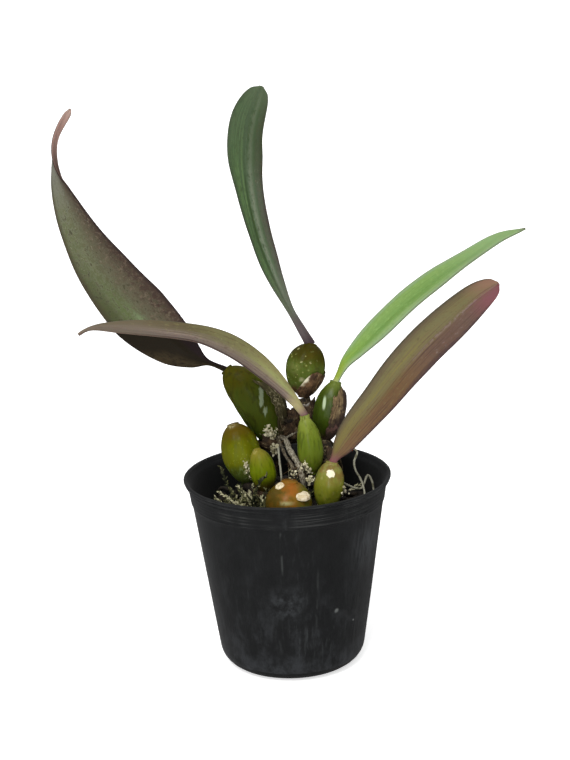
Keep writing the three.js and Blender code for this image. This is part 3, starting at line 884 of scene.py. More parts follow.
RHIZOME_RUNS = {
    # radius, path
    "front": (2.0, [(-23, -2, 76), (-18, -5.5, 82), (-13.5, -12, 81.4), (-10, -17.5, 81.2), (-5, -24, 75),
                    (1, -28, 73), (8, -27, 73), (16, -24.5, 75), (20, -20, 73)]),
    "slanting": (1.1, [(1, -27.6, 73.6), (6.6, -23, 86), (5.1, -18, 93.6), (3.3, -12, 95.9), (1.6, -6, 97.7),
                       (-0.8, 2, 100.4), (-4.5, 9, 98.5)]),
    "branch": (1.6, [(4.3, -15, 94.6), (7.5, -14, 89.5), (12, -13, 87.8)]),
    "rear": (2.5, [(15, -24, 75), (17.5, -16, 86), (17.5, -6, 94), (15.8, 5, 97), (10, 8.5, 98.5),
                   (3, 9.5, 98.3), (-4, 9.5, 97.5)]),
    "riser": (3.0, [(8.5, 8.8, 98.3), (9.4, 11.2, 106), (8.4, 13.4, 115)]),
    "stump": (2.4, [(2.6, 8.5, 98), (2.2, 7, 103), (1.6, 6, 108.5)]),
}
OLD_ROOTS = (
    # radius, how bleached, path
    (0.85, 0.2, [(-4.2, 8.5, 97.8), (-3.1, 2, 99.4), (-0.2, -8, 95.7), (2.3, -17, 93.3), (3.1, -18.2, 89),
                 (3.4, -16.8, 84), (3.6, -15.5, 72)]),
    (0.6, 0.8, [(-0.8, 2, 100.4), (1.6, 3.4, 101.3), (4.4, 4.6, 102.2), (7, 7.8, 99.2)]),
    (0.5, 0, [(-20, -4, 79.5), (-24, -9, 74.5), (-26.5, -14, 70), (-27.5, -17, 64)]),
    (0.5, 0, [(-11, -17, 81), (-14.5, -21.5, 79), (-17, -25, 75), (-18, -27, 64)]),
    (0.9, 0, [(-4, 10, 97), (-9, 17, 93), (-13, 21, 82), (-14, 22, 64)]),
    (0.8, 0, [(1, 9.5, 98), (1.5, 18, 93), (3, 24, 80), (3, 25, 62)]),
    (0.8, 0, [(14, 6, 97.5), (20, 14, 94), (24, 19, 82), (25, 20, 62)]),
    (0.7, 0, [(9, 11.5, 107), (4.5, 18, 104), (-3, 25, 92), (-5, 28, 62)]),
    (0.8, 0, [(-22, -2.5, 77.5), (-28, 2, 79), (-31.5, 6, 74), (-32, 7, 63)]),
)
PALE_ROOTS = (
    # radius, path
    (0.5, [(-3, 6, 98.6), (-3.4, 0, 97.3), (-3.1, -7, 93), (-2.5, -14, 87.8), (-2.6, -16, 72)]),
    (0.5, [(17, 0, 95.5), (25, 4, 95.5), (30.6, 4, 93), (29.1, -1, 89.8), (29.5, -5, 87.3),
           (31.8, -11, 84), (33, -15, 78), (33, -16, 64)]),
    (0.5, [(17.5, -12, 89), (25, -14, 84), (31.5, -11, 81), (34.6, -8, 86), (36.2, -8.2, 83.5),
           (37, -9, 77), (35.5, -9, 62)]),
)
RHIZOME = SimpleNamespace(ring_pitch=5, ring_rise=0.2, ribs=9, rib_rise=0.07, root_taper=0.25)


def rhizome_skin():
    skin = Skin("rhizome_sheaths")
    fibre = skin.noise(0.5, skin.place((1, 0.4, 0.4)), detail=4, roughness=0.65)
    patch = skin.noise(3.5, detail=3)
    bleached = skin.trait("bleached")
    colour = skin.layers(
        skin.mix("#20170f", "#665840", fibre.rise(0.35, 0.7)),
        ("#120d09", patch.rise(0.54, 0.4) * 0.85),
        ("#938a68", patch.rise(0.6, 0.72) * fibre.rise(0.5, 0.62) * 0.8),
        # painted shade: the runs low at the front left, down in the pot, go almost black
        ("#0f0c09", skin.coordinate(0).rise(-9, -13) * skin.coordinate(2).rise(87, 83) * 0.85),
        ("#6b6352", bleached * 0.75),
        ("#aba592", bleached * fibre.rise(0.42, 0.6)),
    )
    return skin.finish(
        Base_Color=colour, Roughness=0.8, Specular_IOR_Level=0.25, Normal=skin.relief(fibre, 0.35)
    )


def root_skin():
    skin = Skin("pale_roots")
    patch = skin.noise(2.4, detail=3)
    colour = skin.layers(
        skin.mix("#7d7b69", "#b0ae9a", skin.noise(0.7, detail=3)),
        ("#5a563c", patch.rise(0.52, 0.66) * 0.8),
    )
    return skin.finish(Base_Color=colour, Roughness=0.7, Specular_IOR_Level=0.3)


def root(bm, radius, path, rings):
    """Adds a root that thins towards its end."""
    return tube(bm, Route(path), lambda share, _: radius * (1 - RHIZOME.root_taper * share), 9, rings)


def bleach(bm, spots, most, centre, width):
    """Bleaches a run or root round a share of its length."""
    mark(bm, "bleached", {vert: most * hump(share, centre, width) for vert, (share, _) in spots.items()})


def make_rhizome():
    bm = blank("bleached")
    for run, (radius, path) in RHIZOME_RUNS.items():
        route = Route(path)
        turns = 2 * math.pi * route.length / RHIZOME.ring_pitch

        def thickness(share, turn):
            ring = RHIZOME.ring_rise * radius * max(0, math.cos(turns * share)) ** 2
            ribs = RHIZOME.rib_rise * math.cos(RHIZOME.ribs * turn + 3 * math.sin(turns * share / 2))
            return radius + ring + ribs

        spots = tube(bm, route, thickness, 18, max(12, round(route.length * 1.6)))
        if run == "slanting":
            bleach(bm, spots, 1, 0.62, 0.3)
    for radius, bleached, path in OLD_ROOTS:
        bleach(bm, root(bm, radius, path, 44), bleached, 0.35, 0.4)
    roughen(bm.verts, 1.6, 0.22)
    roughen(bm.verts, 6, 0.35)
    piece("rhizome_and_old_roots", bm, rhizome_skin(), ["rhizome"])

    bm = blank()
    for radius, path in PALE_ROOTS:
        root(bm, radius, path, 60)
    roughen(bm.verts, 1.2, 0.16)
    piece("pale_roots", bm, root_skin(), ["rhizome"])


# ---------------------------------------------------------------------------------------------
# Pseudobulbs


def bulb(base, tip, radius, belly, plump, tip_radius, furrows, bow=(0, 0, 0)):
    middle = Vector(base).lerp(Vector(tip), 0.5) + Vector(bow)
    return SimpleNamespace(
        route=Route([base, middle, tip]), radius=radius, belly=belly, plump=plump,
        tip_radius=tip_radius, furrows=furrows,
    )


BULBS = {
    "pseudobulb_left_rear": bulb((-6, 9.5, 96), (-25, 11, 130), 9.7, 0.52, 0.47, 2.8, 7, (3.4, 0, 2.4)),
    "pseudobulb_top": bulb((8, 13.5, 115.5), (12.7, 16, 138.8), 8.9, 0.55, 0.5, 2.1, 8, (-1.1, 0, 0)),
    "pseudobulb_right_rear": bulb((15.9, 6, 97.5), (22.4, 8, 123.6), 6.7, 0.52, 0.5, 2.5, 7, (-0.3, 0, 0)),
    "pseudobulb_front_green": bulb((10.6, -13, 89), (8.2, -12, 114.8), 5.8, 0.44, 0.58, 2, 6, (0.6, 0, 0)),
    "pseudobulb_front_right": bulb((15.6, -24, 76), (19, -22.4, 97), 6.6, 0.54, 0.44, 2.6, 6),
    "backbulb_left": bulb((-17.5, -5.5, 83), (-22.6, -3, 109.3), 8.7, 0.54, 0.47, 2.6, 8, (0.8, 0, 0)),
    "backbulb_left_small": bulb((-9.2, -17, 83), (-12.5, -16.3, 102), 5.7, 0.47, 0.5, 1.6, 6, (0.6, 0, 0)),
    "backbulb_front_stub": bulb((0, -28.5, 74), (0.8, -28.8, 91.3), 10.2, 0.46, 0.5, 3.4, 5),
}
BULB = SimpleNamespace(neck=2.2, furrow=0.03, wrinkle=0.28, crease=0.16, dome=0.35, around=72, rings=56)


def bulb_radius(it, share, turn):
    bent = share ** (math.log(0.5) / math.log(it.belly))
    body = it.radius * max(0, math.sin(math.pi * bent)) ** it.plump
    furrow = 1 - BULB.furrow * (1 + math.cos(it.furrows * turn)) * math.sin(math.pi * share)
    least = BULB.neck if share < it.belly else it.tip_radius
    return max(body * furrow, least)


def bulb_ring(it, share):
    """Centre, right, back and heading of a bulb's section, right being nearest the plant's right."""
    heading = it.route.heading(share)
    right = (Vector((1, 0, 0)) - heading * heading.x).normalized()
    return it.route.at(share), right, heading.cross(right), heading


def eased(share):
    """A share of the length, drawn closer at both ends, where a bulb turns in quickly."""
    return 0.5 - 0.5 * math.cos(math.pi * share)


def bulb_mesh(it):
    bm = blank("along")

    def place(share, turn, wide):
        along = eased(share)
        centre, right, back, heading = bulb_ring(it, along)
        out = way_out(right, back, turn)
        radius = bulb_radius(it, along, turn)
        wrinkle = noise.noise((centre + out * radius) / 5) * BULB.wrinkle
        crease = noise.noise(Vector((math.cos(turn) * 5, math.sin(turn) * 5, along * 2.5))) * BULB.crease
        dome = heading * BULB.dome * (2 * share - 1) * (1 - wide)
        return centre + out * (radius + wrinkle + crease) * wide + dome

    spots = skin_round(bm, BULB.around, BULB.rings, place)
    mark(bm, "along", {vert: eased(share) for vert, (share, _) in spots.items()})
    return bm


def bulb_skin(name, low, middle, high, marks, shine):
    """A waxy skin: three colours from the foot up, with coats that marks(skin, along) adds."""
    skin = Skin(name)
    along = skin.trait("along")
    cloud = skin.noise(5.5, detail=3)
    strands = skin.noise(1.3, skin.place((1, 1, 0.16)), detail=3, roughness=0.6)
    fine = skin.noise(0.7, detail=3)
    shifted = along + (cloud - 0.5) * 0.45
    colour = skin.layers(
        paint(middle),
        (low, shifted.rise(0.42, 0.05)),
        (high, shifted.rise(0.55, 0.98)),
        (low, strands.rise(0.5, 0.3) * 0.35),
        (high, strands.rise(0.52, 0.75) * 0.3),
        *marks(skin, along),
    )
    return skin.finish(
        Base_Color=colour,
        Roughness=0.22 + fine * 0.16,
        Specular_IOR_Level=shine,
        Subsurface_Weight=0.08,
        Subsurface_Scale=0.002,
        Normal=skin.relief(strands * 0.6 + fine * 0.4, 0.16),
    )


def flecks(skin, size, area):
    """Small uneven flecks, where area is near 1."""
    blur = skin.noise(size * 0.8, detail=2)
    return (skin.cells(size) + (blur - 0.5) * 0.35).rise(0.26, 0.14) * area


def dark_left_marks(skin, along):
    scurf = skin.noise(0.9, skin.place((1, 1, 0.3)), detail=4, roughness=0.7)
    across, height = skin.coordinate(0), skin.coordinate(2)
    front = skin.coordinate(1).rise(8, 4)
    # painted highlight: a whitish streak down the front, in an upper and a lower piece
    upper = (across + 10).band(0, 1.9) * height.rise(126.5, 122) * height.rise(113.5, 117)
    lower = (across + 8.6).band(0, 1.8) * height.band(113.2, 4)
    painted_highlight_streak = (upper | lower) * front
    return [
        ("#4c3d1a", along.rise(0.74, 1) * across.rise(-22, -14) * 0.8),
        ("#2a2a10", skin.noise(2.4, skin.place((1, 1, 0.4)), detail=4).rise(0.52, 0.66) * 0.5),
        # the painted highlight streak, its edge broken by the scurf noise
        ("#828d73", (painted_highlight_streak + (scurf - 0.5) * 1.6).rise(0.3, 0.9) * painted_highlight_streak.rise(0, 0.3) * 0.85),
        ("#857b66", skin.spot((-4.5, 1, 125), 4.6, 0.7) * scurf.rise(0.44, 0.56) * 0.75),
        ("#2a1f12", along.rise(0.14, 0.04)),
    ]


def speckled_top_marks(skin, along):
    area = skin.noise(2.6).rise(0.42, 0.58) * skin.coordinate(0).rise(17, 8)
    husk = skin.noise(2.2, detail=4, roughness=0.65)
    return [
        # painted highlight glow: a brighter olive patch round the top
        ("#6f6a1e", skin.spot((11.8, 8.5, 135.8), 4.5, 1) * husk.rise(0.4, 0.6) * 0.6),
        ("#3d2f14", husk.rise(0.54, 0.68) * 0.5),
        ("#363006", along.rise(0.58, 0.84) * 0.75),
        ("#7b8249", skin.spot((4.2, 8, 130.5), 5, 1) * husk.rise(0.36, 0.56) * 0.45),
        ("#8b8d50", flecks(skin, 1.9, area) * husk.rise(0.4, 0.5) * 0.75),
        ("#a9a674", flecks(skin, 2.9, area) * husk.rise(0.5, 0.42) * 0.8),
        # painted highlight: a small cream spot near the top
        ("#e2dcb4", skin.spot((12.1, 7, 136.6), 1, 0.8) * 0.8),
        ("#b9b48c", skin.spot((7.6, 6, 125), 2, 0.8) * husk.rise(0.36, 0.5) * 0.7),
        ("#4b3420", along.rise(0.3, 0.16) * husk.rise(0.36, 0.5)),
    ]


def right_rear_marks(skin, along):
    across, height = skin.coordinate(0), skin.coordinate(2)
    glint = (across - 17 + (height - 115.7) * -0.15).band(0, 1) * height.band(115.7, 4)
    return [
        ("#6d7b34", along.rise(0.82, 1) * 0.6),
        ("#33281a", along.rise(0.2, 0.08) * 0.8),
        ("#b9c8a4", glint.rise(0, 0.6) * skin.coordinate(1).rise(6, 3) * 0.85),
    ]


def front_green_marks(skin, along):
    return [
        ("#828a42", along.rise(0.82, 1.02) * 0.8),
        ("#3f4a12", skin.noise(1.5, skin.place((1, 1, 0.12)), detail=3).rise(0.5, 0.66) * 0.65),
        ("#6f6a38", skin.noise(1.4).rise(0.55, 0.7) * along.rise(0.4, 0.1) * 0.5),
    ]


def front_right_marks(skin, along):
    ragged = skin.noise(1.2, detail=3)
    return [
        ("#6b4a22", along.rise(0.5, 0.85) * skin.noise(3.5, detail=3).rise(0.4, 0.6) * 0.65),
        # painted highlight: a ragged cream-white patch on the front
        ("#e4ddc0", (skin.spot((18.2, -29.2, 94.4), 3.9, 0.9) * 1.2 + ragged * 0.9).rise(0.82, 1)),
        ("#a39a66", flecks(skin, 3.1, along.rise(0.1, 0.3)) * 0.25),
        ("#4a5210", skin.noise(2.6, detail=3).rise(0.48, 0.62) * along.rise(0.6, 0.3) * 0.65),
    ]


def left_back_marks(skin, along):
    ragged = skin.noise(1.2, detail=3)
    scar = skin.spot((-23.2, -5.4, 109.4), 2.2, 0.7) * ragged.rise(0.44, 0.56)
    scurf = (skin.coordinate(0) + 17.2).band(0, 2) * skin.coordinate(2).band(91, 6)
    return [
        ("#5f4a12", along.rise(0.72, 0.98) * 0.7),
        ("#4d4810", skin.coordinate(0).rise(-22, -30) * 0.7),
        ("#6f7418", skin.spot((-19, -11, 97), 6, 0.9) * 0.5),
        ("#6e5f34", along.rise(0.93, 1) * 0.8),
        ("#3c4a1a", along.rise(0.42, 0.2) * 0.7),
        ("#6f7c4c", along.band(0.3, 0.16) * skin.noise(1.2, skin.place((1, 1, 0.1))).rise(0.52, 0.64) * 0.6),
        ("#8f8f3c", flecks(skin, 1.5, along.band(0.55, 0.4)) * 0.35),
        ("#a39a70", scar * 0.8),
        ("#b5b38c", scurf * ragged.rise(0.46, 0.58) * 0.85),
    ]


def left_small_marks(skin, along):
    ragged = skin.noise(0.9, detail=3)
    return [
        ("#a39a62", skin.spot((-13.6, -18.2, 101.6), 1.8, 0.6) * ragged.rise(0.4, 0.52) * 0.9),
        ("#7a6f2a", along.rise(0.75, 1) * 0.6),
        ("#3b300e", along.rise(0.4, 0.12) * 0.9),
    ]


def stub_marks(skin, along):
    patch = skin.noise(2.4, detail=3)
    across, height = skin.coordinate(0), skin.coordinate(2)
    foot = height.band(84.6, 1.3) * across.band(-0.6, 4.5)
    return [
        ("#8e571b", patch.rise(0.42, 0.62) * 0.6),
        ("#8a5219", (skin.spot((1.8, -35, 90.6), 6.2, 0.9) + (patch - 0.5) * 0.6).rise(0.1, 0.7) * 0.85),
        ("#4c3f12", (across + patch * 8).rise(6, -1) * height.rise(93, 88) * 0.95),
        ("#565a1e", (across + patch * 6).rise(5, 10) * height.rise(92.5, 88) * 0.9),
        ("#6b4a14", patch.rise(0.5, 0.36) * height.rise(88, 84) * 0.6),
        ("#a3a06c", foot * patch.rise(0.4, 0.52) * 0.85),
        ("#2c210f", along.rise(0.3, 0.1)),
    ]


BULB_SKINS = {
    # foot, middle and tip colours, marks, shine, and the record's slot
    "pseudobulb_left_rear": ("#364410", "#3d4612", "#423e08", dark_left_marks, 0.03, "pseudobulb_dark"),
    "pseudobulb_top": ("#566730", "#4a561e", "#3d3906", speckled_top_marks, 0.05, "pseudobulb_dark"),
    "pseudobulb_right_rear": ("#262f06", "#38480f", "#475419", right_rear_marks, 0.16, "pseudobulb_dark"),
    "pseudobulb_front_green": ("#4f5a14", "#596819", "#717c2e", front_green_marks, 0.12, "pseudobulb_bright"),
    "pseudobulb_front_right": ("#5c640f", "#6f7220", "#7d7a40", front_right_marks, 0.2, "pseudobulb_olive"),
    "backbulb_left": ("#434c22", "#5c6008", "#454000", left_back_marks, 0.04, "pseudobulb_olive"),
    "backbulb_left_small": ("#262900", "#5c6908", "#6c6a1e", left_small_marks, 0.05, "pseudobulb_olive"),
    "backbulb_front_stub": ("#55430f", "#76591a", "#7c5a1c", stub_marks, 0.1, "pseudobulb_amber"),
}


def make_bulbs():
    for name, (low, middle, high, marks, shine, slot) in BULB_SKINS.items():
        skin = bulb_skin(f"{name}_wax", low, middle, high, marks, shine)
        piece(f"{name}_skin", bulb_mesh(BULBS[name]), skin, [name])


CUT_SCARS = (
    # middle, radius, height, and how far it faces up
    ((-3.3, -37, 91.7), 2.0, 0.5, 0.1),
    ((6, -37, 87.5), 3.0, 0.9, 0.72),
)


def scar_skin():
    skin = Skin("cut_scars")
    rings = skin.noise(1.1, detail=3)
    colour = skin.layers(
        skin.mix("#c4b28c", "#dfd3b6", rings.rise(0.35, 0.6)),
        ("#b0917c", skin.spot((-1.6, -37, 93.4), 2.2, 0.8) * 0.7),
    )
    return skin.finish(
        Base_Color=colour, Roughness=0.62, Specular_IOR_Level=0.35, Normal=skin.relief(rings, 0.25)
    )


def make_scars():
    """The pale cut ends where two old growths were taken off the front bulb."""
    stub = Ground("backbulb_front_stub")
    bm = blank()
    for middle, radius, height, lift in CUT_SCARS:
        place, facing = stub.seen(middle)
        facing = facing.lerp(UP, lift)
        seat = Matrix.Translation(place) @ facing.to_track_quat("Z", "Y").to_matrix().to_4x4()

        def stump(share, turn, wide):
            rounded = (1 - share**6) ** 0.5
            spread = radius * (1.12 - 0.12 * share) * lerp(1, rounded, 0.8) * wide
            return seat @ Vector((spread * math.cos(turn), spread * math.sin(turn), height * (2 * share - 1)))

        skin_round(bm, 32, 16, stump)
    roughen(bm.verts, 1.5, 0.2)
    piece("cut_scars", bm, scar_skin())


# ---------------------------------------------------------------------------------------------
# Dry bracts


BRACTS = {
    # the bulb, arc round its axis in degrees, reach along it, the share of that reach at the
    # arc's start, and how far it stands off in the middle and at its rim
    "bract_left_rear": ("pseudobulb_left_rear", (-50, 60), (0.04, 0.8), 1.0, 1.6, 0.2),
    "bract_top": ("pseudobulb_top", (-128, 30), (0.02, 0.55), 0.3, 0.1, 0),
    "bract_right_rear": ("pseudobulb_right_rear", (-86, 60), (0.04, 0.96), 1.0, 0.2, 0.1),
}
LOOSE_HUSKS = {
    # radius, path
    "torn": (1.8, [(2.8, 8.4, 103), (3.5, 8.4, 108), (4.1, 8.8, 113)]),
    "foot": (2.4, [(-4, 6, 95.5), (-8, 5.5, 97.6), (-13, 5.5, 101)]),
}
SHEATHS = (
    # the run of the rhizome or the loose husk, arc round it in degrees, reach along it, and how
    # far it stands off in the middle and at its rim
    ("riser", (-170, 60), (0.35, 0.99), 0.7, 0.7),
    ("riser", (-60, 190), (0.1, 0.8), 0.6, 0.8),
    ("stump", (-180, 40), (0.2, 0.98), 0.5, 1.0),
    ("stump", (0, 200), (0.1, 0.86), 0.6, 1.2),
    ("rear", (-170, 40), (0.12, 0.34), 0.4, 0.9),
    ("rear", (-150, 80), (0.3, 0.5), 0.4, 0.8),
    ("rear", (-160, 60), (0.62, 0.8), 0.3, 0.8),
    ("front", (20, 190), (0.28, 0.42), 0.3, 0.7),
    ("torn", (-190, 0), (0, 1), 0.2, 0.3),
    ("torn", (-10, 180), (0, 0.9), 0.2, 0.5),
    ("foot", (-190, 0), (0, 1), 0.3, 0.5),
    ("foot", (-10, 180), (0, 0.9), 0.3, 0.6),
)
SHEET = SimpleNamespace(bulb_gap=0.6, stem_gap=0.4, tear=0.1, teeth=9, thick=0.35, across=48, along=56)


def torn_sheet(place, seed):
    """A papery sheet with a ragged rim. place(across, along, stand) says where its points go."""
    bm = blank("across", "along")
    grid = bmesh.ops.create_grid(bm, x_segments=SHEET.across, y_segments=SHEET.along, size=0.5)
    across, along = {}, {}
    for vert in grid["verts"]:
        u, v = vert.co.x + 0.5, vert.co.y + 0.5
        ragged = 0.07 * noise.noise((u * 14, 1.7, seed)) + 0.03 * noise.noise((u * 60, 4.2, seed))
        torn = v * (1 - SHEET.tear * (1 + math.sin(SHEET.teeth * u + seed)) + ragged)
        edge = 0.05 * noise.noise((3.3, v * 12, seed)) + 0.02 * noise.noise((5.1, v * 50, seed))
        crumple = 0.3 * noise.noise(Vector((u * 7, v * 5, 2 + seed))) * v
        fold = 0.12 * math.sin(46 * u + 3 * v)
        across[vert], along[vert] = u, v
        vert.co = place(u + edge * (2 * u - 1), torn, max(-0.2, crumple + fold))
    mark(bm, "across", across)
    mark(bm, "along", along)
    return bm


def stand_off(gap, loose, flare, across, along):
    """How far a sheet stands off: loose over its middle, and flared towards its rim."""
    return gap + flare * along**2 + loose * max(0, math.sin(math.pi * across))


def bract_mesh(name, seed):
    bulb_name, arc, (foot, rim), start, loose, flare = BRACTS[name]
    it = BULBS[bulb_name]

    def place(across, along, stand):
        turn = math.radians(lerp(*arc, across))
        share = lerp(foot, rim, along * lerp(start, 1, rise(across, 0, 0.45)))
        centre, right, back, _ = bulb_ring(it, share)
        stand += stand_off(SHEET.bulb_gap, loose, flare, across, along)
        return centre + way_out(right, back, turn) * (bulb_radius(it, share, turn) + stand)

    return torn_sheet(place, seed)


def sheath_mesh(run, arc, reach, loose, flare, seed):
    radius, path = {**RHIZOME_RUNS, **LOOSE_HUSKS}[run]
    last = 199
    frames = Route(path).frames(last + 1)

    def place(across, along, stand):
        turn = math.radians(lerp(*arc, across))
        centre, right, back = frames[min(last, round(last * lerp(*reach, along)))]
        stand += stand_off(SHEET.stem_gap, loose, flare, across, along)
        return centre + way_out(right, back, turn) * (radius + stand)

    return torn_sheet(place, seed)


def paper_skin(name, dark, tan, pale, husk, coats):
    """Papery sheath: fibres along it, with dark and pale torn patches, under the coats of coats(skin)."""
    skin = Skin(name)
    across, along = skin.trait("across"), skin.trait("along")
    threads = skin.vector(across * 26, along * 3, 0)
    fibre = skin.noise(1, threads, detail=4, roughness=0.65)
    patch = skin.noise(3.2, detail=4, roughness=0.6)
    colour = skin.layers(
        skin.mix(dark, tan, fibre.rise(0.3, 0.7)),
        (dark, patch.rise(0.54, 0.4) * husk),
        (pale, patch.rise(0.56, 0.68) * fibre.rise(0.42, 0.6)),
        *coats(skin),
    )
    return skin.finish(
        Base_Color=colour, Roughness=0.78, Specular_IOR_Level=0.25, Normal=skin.relief(fibre, 0.3)
    )


def right_rear_husk(skin):
    """Tan at the top, and purple-brown down the outer side and at the foot."""
    across, along = skin.trait("across"), skin.trait("along")
    ragged = skin.noise(1.4, detail=3) - 0.5
    level = along + ragged * 0.4
    return [
        ("#2f211b", (across - along * 0.12 + ragged * 0.5).rise(0.1, 0.3) * 0.95),
        ("#2b1f19", level.rise(0.62, 0.34) * 0.9),
        ("#6b4b44", level.band(0.27, 0.09) * 0.6),
    ]


def top_husk(skin):
    """Bleached scraps down the front, over a darker foot."""
    ragged = skin.noise(1.2, detail=3)
    return [
        ("#2a1b13", (skin.trait("along") + (ragged - 0.5) * 0.5).rise(0.35, 0.1) * 0.4),
        ("#cfc7ab", skin.spot((10.3, 6, 127.6), 1.8, 0.5) * ragged.rise(0.28, 0.42)),
        ("#d6cfb4", skin.spot((9, 6, 125.6), 2.2, 0.5) * ragged.rise(0.26, 0.4)),
        ("#bdb497", skin.spot((7.6, 6, 123.4), 2, 0.6) * ragged.rise(0.34, 0.5)),
    ]


def stem_husk(skin):
    """A bleached patch on the front of the stem."""
    ragged = skin.noise(1.2, detail=3)
    return [("#d8d4ca", skin.spot((9.4, 7, 115.2), 3.3, 0.6) * ragged.rise(0.28, 0.42))]


def speckled_husk(skin):
    """Grey scurf high on the front, over a foot that is dark."""
    scurf = skin.noise(0.8, detail=3, roughness=0.7)
    return [
        ("#2c2413", (skin.coordinate(2) + scurf * 8).rise(118, 110) * 0.6),
        ("#8f866a", skin.spot((-3.3, 1, 117.5), 8, 0.8) * scurf.rise(0.52, 0.6) * 0.95),
    ]


PAPERS = {
    # dark, tan and pale colours, share of the dark patches, and further coats
    "bract_left_rear": ("#2b2812", "#524b2c", "#8f8970", 0.55, speckled_husk),
    "bract_top": ("#3a281b", "#775a3c", "#9c8a66", 0.6, top_husk),
    "bract_right_rear": ("#3b2c1e", "#8a7450", "#a08d66", 0.4, right_rear_husk),
}


def make_bracts():
    made = []
    for seed, (name, paper) in enumerate(PAPERS.items()):
        skin = paper_skin(f"{name}_paper", *paper)
        made.append(piece(f"{name}_paper", bract_mesh(name, seed), skin, [name]))
    husk = paper_skin("rhizome_husk", "#281d13", "#54402c", "#9a8a66", 0.7, stem_husk)
    for seed, (run, *shape) in enumerate(SHEATHS):
        made.append(piece(f"husk_{run}_{seed}", sheath_mesh(run, *shape, seed), husk))
    for thing in made:
        wall = thing.modifiers.new("thickness", "SOLIDIFY")
        wall.thickness = SHEET.thick * MM
        wall.offset = 0


# ---------------------------------------------------------------------------------------------
# Leaves


def leaf(path, half_width, across, fold):
    ways = [(share, Vector(way).normalized()) for share, way in across]
    return SimpleNamespace(route=Route(path), half_width=half_width, across=ways, fold=fold)


LEAVES = {
    "leaf_left_broad": leaf(
        path=[(-24.5, 11, 129.6), (-30.5, 11, 132.4), (-38, 11.6, 135.4), (-47, 13.7, 141.4),
              (-62.4, 18.5, 155.4), (-75.5, 22.5, 172), (-85, 21.5, 190.5), (-92, 19.5, 210.5),
              (-94, 18.4, 221), (-92.6, 17.2, 231.3), (-85.6, 16, 243.6)],
        half_width=[(0, 1.3), (0.06, 1.4), (0.1, 4.8), (0.17, 9.8), (0.3, 13.3), (0.38, 12.9),
                    (0.46, 11.9), (0.65, 9.5), (0.76, 7.4), (0.85, 4.8), (0.95, 2.6), (1, 1.4)],
        across=[(0, (0.5, 0.2, 0.8)), (0.45, (0.8, 0, 0.6)), (0.6, (0.8, -0.42, 0.4)),
                (0.7, (0.7, -0.64, 0.3)), (0.76, (0.56, -0.8, 0.2)), (0.81, (0.3, -0.95, 0.04)),
                (0.86, (0, -1, 0)), (0.92, (-0.3, -0.95, 0.08)), (1, (-0.72, -0.5, 0.49))],
        fold=0.22,
    ),
    "leaf_top": leaf(
        path=[(12.2, 16, 138.2), (7, 17.5, 147.5), (2.7, 19, 155.3), (-4.3, 24, 171),
              (-9.4, 28.3, 187.3), (-12.7, 32, 205), (-13.3, 33.2, 220), (-11.2, 33, 235),
              (-5.2, 32, 248.8)],
        half_width=[(0, 2.3), (0.07, 1.9), (0.15, 1.7), (0.26, 3.5), (0.36, 5.1), (0.46, 5.9),
                    (0.56, 6.1), (0.65, 6.6), (0.75, 7.7), (0.87, 7.7), (0.95, 5.9), (1, 2.9)],
        across=[(0, (0.95, 0.2, 0.2)), (0.3, (0.85, 0.5, 0.2)), (0.45, (0.8, 0.58, 0.1)),
                (0.6, (0.9, 0.4, 0.13)), (0.72, (0.98, 0, 0.1)), (0.82, (0.95, -0.28, 0)),
                (1, (0.95, -0.2, -0.3))],
        fold=0.5,
    ),
    "leaf_arching": leaf(
        path=[(8.6, -12, 114.4), (2.8, -13, 123.1), (-8.1, -16, 135.6), (-20.8, -21, 146.5),
              (-34.9, -26.4, 154), (-50, -31, 158), (-65, -35, 160.6), (-75, -36.8, 161.6),
              (-79, -37.6, 161), (-82, -38.2, 159.4)],
        half_width=[(0, 1.7), (0.07, 2.5), (0.16, 4.4), (0.28, 7), (0.41, 8.5), (0.56, 8.7),
                    (0.7, 6.9), (0.84, 4.6), (0.9, 3.1), (0.95, 1.5), (1, 0.3)],
        across=[(0, (0.6, 0.6, 0.4)), (0.15, (0.47, 0.8, 0.36)), (0.33, (0.02, 0.83, 0.48)),
                (0.6, (-0.24, 0.9, 0.25)), (1, (0.1, 0.9, 0.4))],
        fold=0.36,
    ),
    "leaf_right_young": leaf(
        path=[(21.9, 8, 122.6), (24.2, 8.6, 127), (27.1, 9.2, 131.7), (32.7, 10.3, 137.2),
              (44.2, 13.2, 147.5), (55.6, 16.6, 156.8), (68.5, 20, 165.5), (81.9, 23, 173.4),
              (95.5, 25.6, 180.8), (107, 27, 184.2)],
        half_width=[(0, 1.7), (0.04, 1.7), (0.09, 2.6), (0.16, 4.2), (0.27, 6.05), (0.42, 6.5),
                    (0.56, 6.45), (0.7, 5.5), (0.82, 4.3), (0.92, 2.6), (1, 0.3)],
        across=[(0, (0.5, -0.7, -0.5)), (0.5, (0.47, -0.82, -0.33)), (0.75, (0.35, -0.88, -0.3)),
                (1, (0.5, -0.75, -0.4))],
        fold=0.22,
    ),
    "leaf_right_front": leaf(
        path=[(18.8, -22.4, 96), (20.7, -22.7, 99.7), (23.9, -23, 104.6), (28.5, -23.6, 111.3),
              (38.5, -24.8, 123.5), (48.1, -25.7, 135.6), (58.4, -26, 146.8), (69.4, -26, 157),
              (80.6, -25, 166.5), (88.9, -24, 171.7)],
        half_width=[(0, 1.7), (0.03, 1.8), (0.085, 4.2), (0.16, 5.8), (0.31, 7.1), (0.5, 8.1),
                    (0.66, 8.2), (0.8, 7.6), (0.9, 6.3), (0.96, 4.6), (1, 2.2)],
        across=[(0, (0.68, -0.4, -0.6)), (0.5, (0.68, -0.35, -0.64)), (1, (0.6, -0.3, -0.74))],
        fold=0.2,
    ),
}
